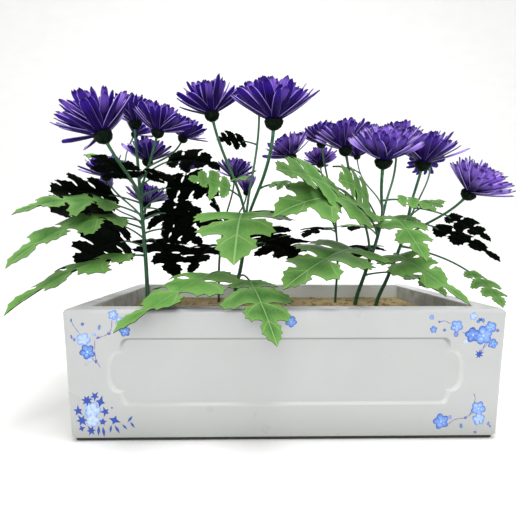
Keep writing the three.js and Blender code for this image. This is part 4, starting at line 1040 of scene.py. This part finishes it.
def bloom_points(size, opening, chance):
    """Every petal's points, in the bloom's own frame with its axis up, and their marks. The order
    runs from 0 at the outermost petal to 1 at the innermost."""
    petals = 84 if size > 60 else 64
    golden_turn = 2.39996
    order = (np.arange(petals) + 0.5) / petals
    around = np.arange(petals) * golden_turn + chance.normal(0, 0.05, petals)
    lowest, highest = 20, 66  # degrees above level
    rise = lowest + (highest - lowest) * order ** 0.8 + chance.normal(0, 5, petals)
    rise = np.radians(90 - (90 - rise) * opening)
    reach = size / 2
    foot_radius = size * (0.078 - 0.066 * order)
    foot_height = size * 0.05 * order
    length = reach * (1.03 - 0.36 * order) * (1 + chance.uniform(-0.16, 0.05, petals)) - foot_radius
    curl = reach * (0.09 - 0.07 * order) * (1 + chance.normal(0, 0.35, petals))
    bend = chance.normal(0, 0.05, petals) * reach
    twist = chance.normal(0, 0.45, petals)
    half_width = size * (0.041 + 0.008 * chance.random(petals)) * (1 - 0.15 * order)
    half_width = half_width * (1 + chance.uniform(-0.1, 0.1, petals))
    outward = np.stack([np.cos(around), np.sin(around), np.zeros(petals)], axis=1)
    across = np.stack([-np.sin(around), np.cos(around), np.zeros(petals)], axis=1)
    up = np.array((0.0, 0.0, 1.0))
    along = outward * np.cos(rise)[:, None] + up * np.sin(rise)[:, None]
    upper = up * np.cos(rise)[:, None] - outward * np.sin(rise)[:, None]
    s = petal_stations[None, :, None, None]
    w = petal_lanes[None, None, :, None]
    wide = petal_widths[None, :, None, None]

    def each(values):
        return np.asarray(values).reshape(petals, 1, 1, -1)

    turn = each(twist) * s
    sideways = each(across) * np.cos(turn) + each(upper) * np.sin(turn)
    normal = each(upper) * np.cos(turn) - each(across) * np.sin(turn)
    half = each(half_width) * wide
    centre = each(outward * foot_radius[:, None] + up * foot_height[:, None])
    centre = centre + each(along) * each(length) * s + each(upper) * each(curl) * s * s
    centre = centre + each(across) * each(bend) * s * s
    teeth = np.abs(np.sin(np.pi * (w * 1.5 + each(chance.random(petals)))))
    notch = np.where(s > 0.93, 0.04 * teeth, 0)
    sheet = centre + sideways * half * w + normal * (0.3 * w * w - 0.12) * half
    sheet = sheet - each(along) * each(length) * notch
    skin = normal * 0.22  # half the thickness of the petal
    points = np.stack([sheet + skin, sheet - skin], axis=1)
    marks = np.broadcast_arrays(s, w, each(chance.random(petals)))
    marks = np.concatenate(marks, axis=-1)
    marks = np.stack([marks, marks], axis=1)
    # Paleness is partly random and partly painted light: higher on the inner petals, which stand up into
    # the light.
    paleness = np.clip(2.0 * order - 0.6 + chance.normal(0, 0.45, petals), 0, 1)
    return points.reshape(-1, 3), marks.reshape(-1, 3), np.repeat(paleness, points[0].size // 3)


# Petal, inside: satin lilac, indigo at the foot and dark at the very tip. Petal, back: near-black
# indigo as painted shade, with a pale drawn edge. Both are paler on the inner petals, partly at
# random and partly as painted light. Both have lengthwise streaks, a fifth of a petal wide, laid out
# in shares of the petal with a pattern of its own for each one.
petal_finishes = []
for name, foot_colour, mid_colour, end_colour, edge_colour, edge_start, painted_light_colour in (
        ("petal_inside", "#0c023c", "#8c60dc", "#d2b8fc", "#d0bcfb", 0.72, "#c8aaf9"),
        # The back's near-black indigo is painted shade.
        ("petal_back_painted_shade", "#040018", "#0d0234", "#2c1080", "#9d7edc", 0.88, "#a880ea")):
    material, tree, shader = new_material(name, 0.55, 1.4, 0.12)
    marks = add_node(tree, "Attribute", attribute_name="petal_place").outputs["Vector"]
    axes = add_node(tree, "SeparateXYZ", {0: marks})
    along = axes.outputs["X"]
    pale = add_node(tree, "Attribute", attribute_name="paleness").outputs["Fac"]
    lane = add_node(tree, "Math", {0: axes.outputs["Y"], 1: 5.0}, operation="MULTIPLY")
    own = add_node(tree, "Math", {0: axes.outputs["Z"], 1: 40.0}, operation="MULTIPLY")
    streak_place = add_node(tree, "CombineXYZ", {"X": along, "Y": lane, "Z": own})
    streak = add_node(tree, "TexNoise", {"Vector": streak_place, "Scale": 1.6, "Detail": 3.0})
    lower = add_node(tree, "MapRange", {"Value": along, 1: 0.22, 2: 0.66})
    upper_part = add_node(tree, "MapRange", {"Value": along, 1: 0.6, 2: 0.9})
    ground = add_node(tree, "Mix", {0: lower, 6: foot_colour, 7: mid_colour}, data_type="RGBA")
    ground = add_node(tree, "Mix", {0: upper_part, 6: ground, 7: end_colour}, data_type="RGBA")
    # The paler colour over the outer part of a petal: partly random tone, partly painted light.
    painted_light_share = add_node(tree, "MapRange", {"Value": along, 1: 0.42, 2: 0.74, 3: 0.0, 4: 1.0})
    painted_light_share = add_node(tree, "Math", {0: painted_light_share, 1: pale}, operation="MULTIPLY")
    ground = add_node(tree, "Mix", {0: painted_light_share, 6: ground, 7: painted_light_colour}, data_type="RGBA")
    streaky = add_node(tree, "MapRange", {"Value": streak, 1: 0.45, 2: 0.66, 3: 0.0, 4: 0.7})
    drawn = add_node(tree, "Mix", {0: streaky, 6: ground, 7: "#3a1690"}, data_type="RGBA")
    off = add_node(tree, "Math", {0: axes.outputs["Y"]}, operation="ABSOLUTE")
    edge_share = add_node(tree, "MapRange", {"Value": off, 1: edge_start, 2: 1.0, 3: 0.0, 4: 0.55})
    edged = add_node(tree, "Mix", {0: edge_share, 6: drawn, 7: edge_colour}, data_type="RGBA")
    tip_share = add_node(tree, "MapRange", {"Value": along, 1: 0.88, 2: 0.99, 3: 0.0, 4: 0.95})
    tipped = add_node(tree, "Mix", {0: tip_share, 6: edged, 7: "#1c0658"}, data_type="RGBA")
    bump = add_node(tree, "Bump", {"Height": streak, "Strength": 0.3, "Distance": 0.0008})
    fill(tree, shader, {"Base Color": tipped, "Normal": bump})
    petal_finishes.append(material)

for number, seat, axis, size, habit in sorted(bloom_seats, key=lambda row: row[0]):
    chance = np.random.default_rng(100 + number)
    points, marks, paleness = bloom_points(size, habit.get("opening", 1), chance)
    turn = Vector((0, 0, 1)).rotation_difference(Vector(axis)).to_matrix()
    points = points @ np.array(turn).T + seat
    petals = len(points) // petal_points
    faces = [tuple(p * petal_points + i for i in face) for p in range(petals) for face in one_petal]
    paleness = np.clip(paleness + habit.get("pale", 0.0), 0, 1)
    bloom = make_piece(f"aster_bloom_{number:02d}", points, faces, petal_finishes,
                       one_finish * petals, crease=60, petal_place=marks, paleness=paleness)
    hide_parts(f"bloom_{number:02d}")
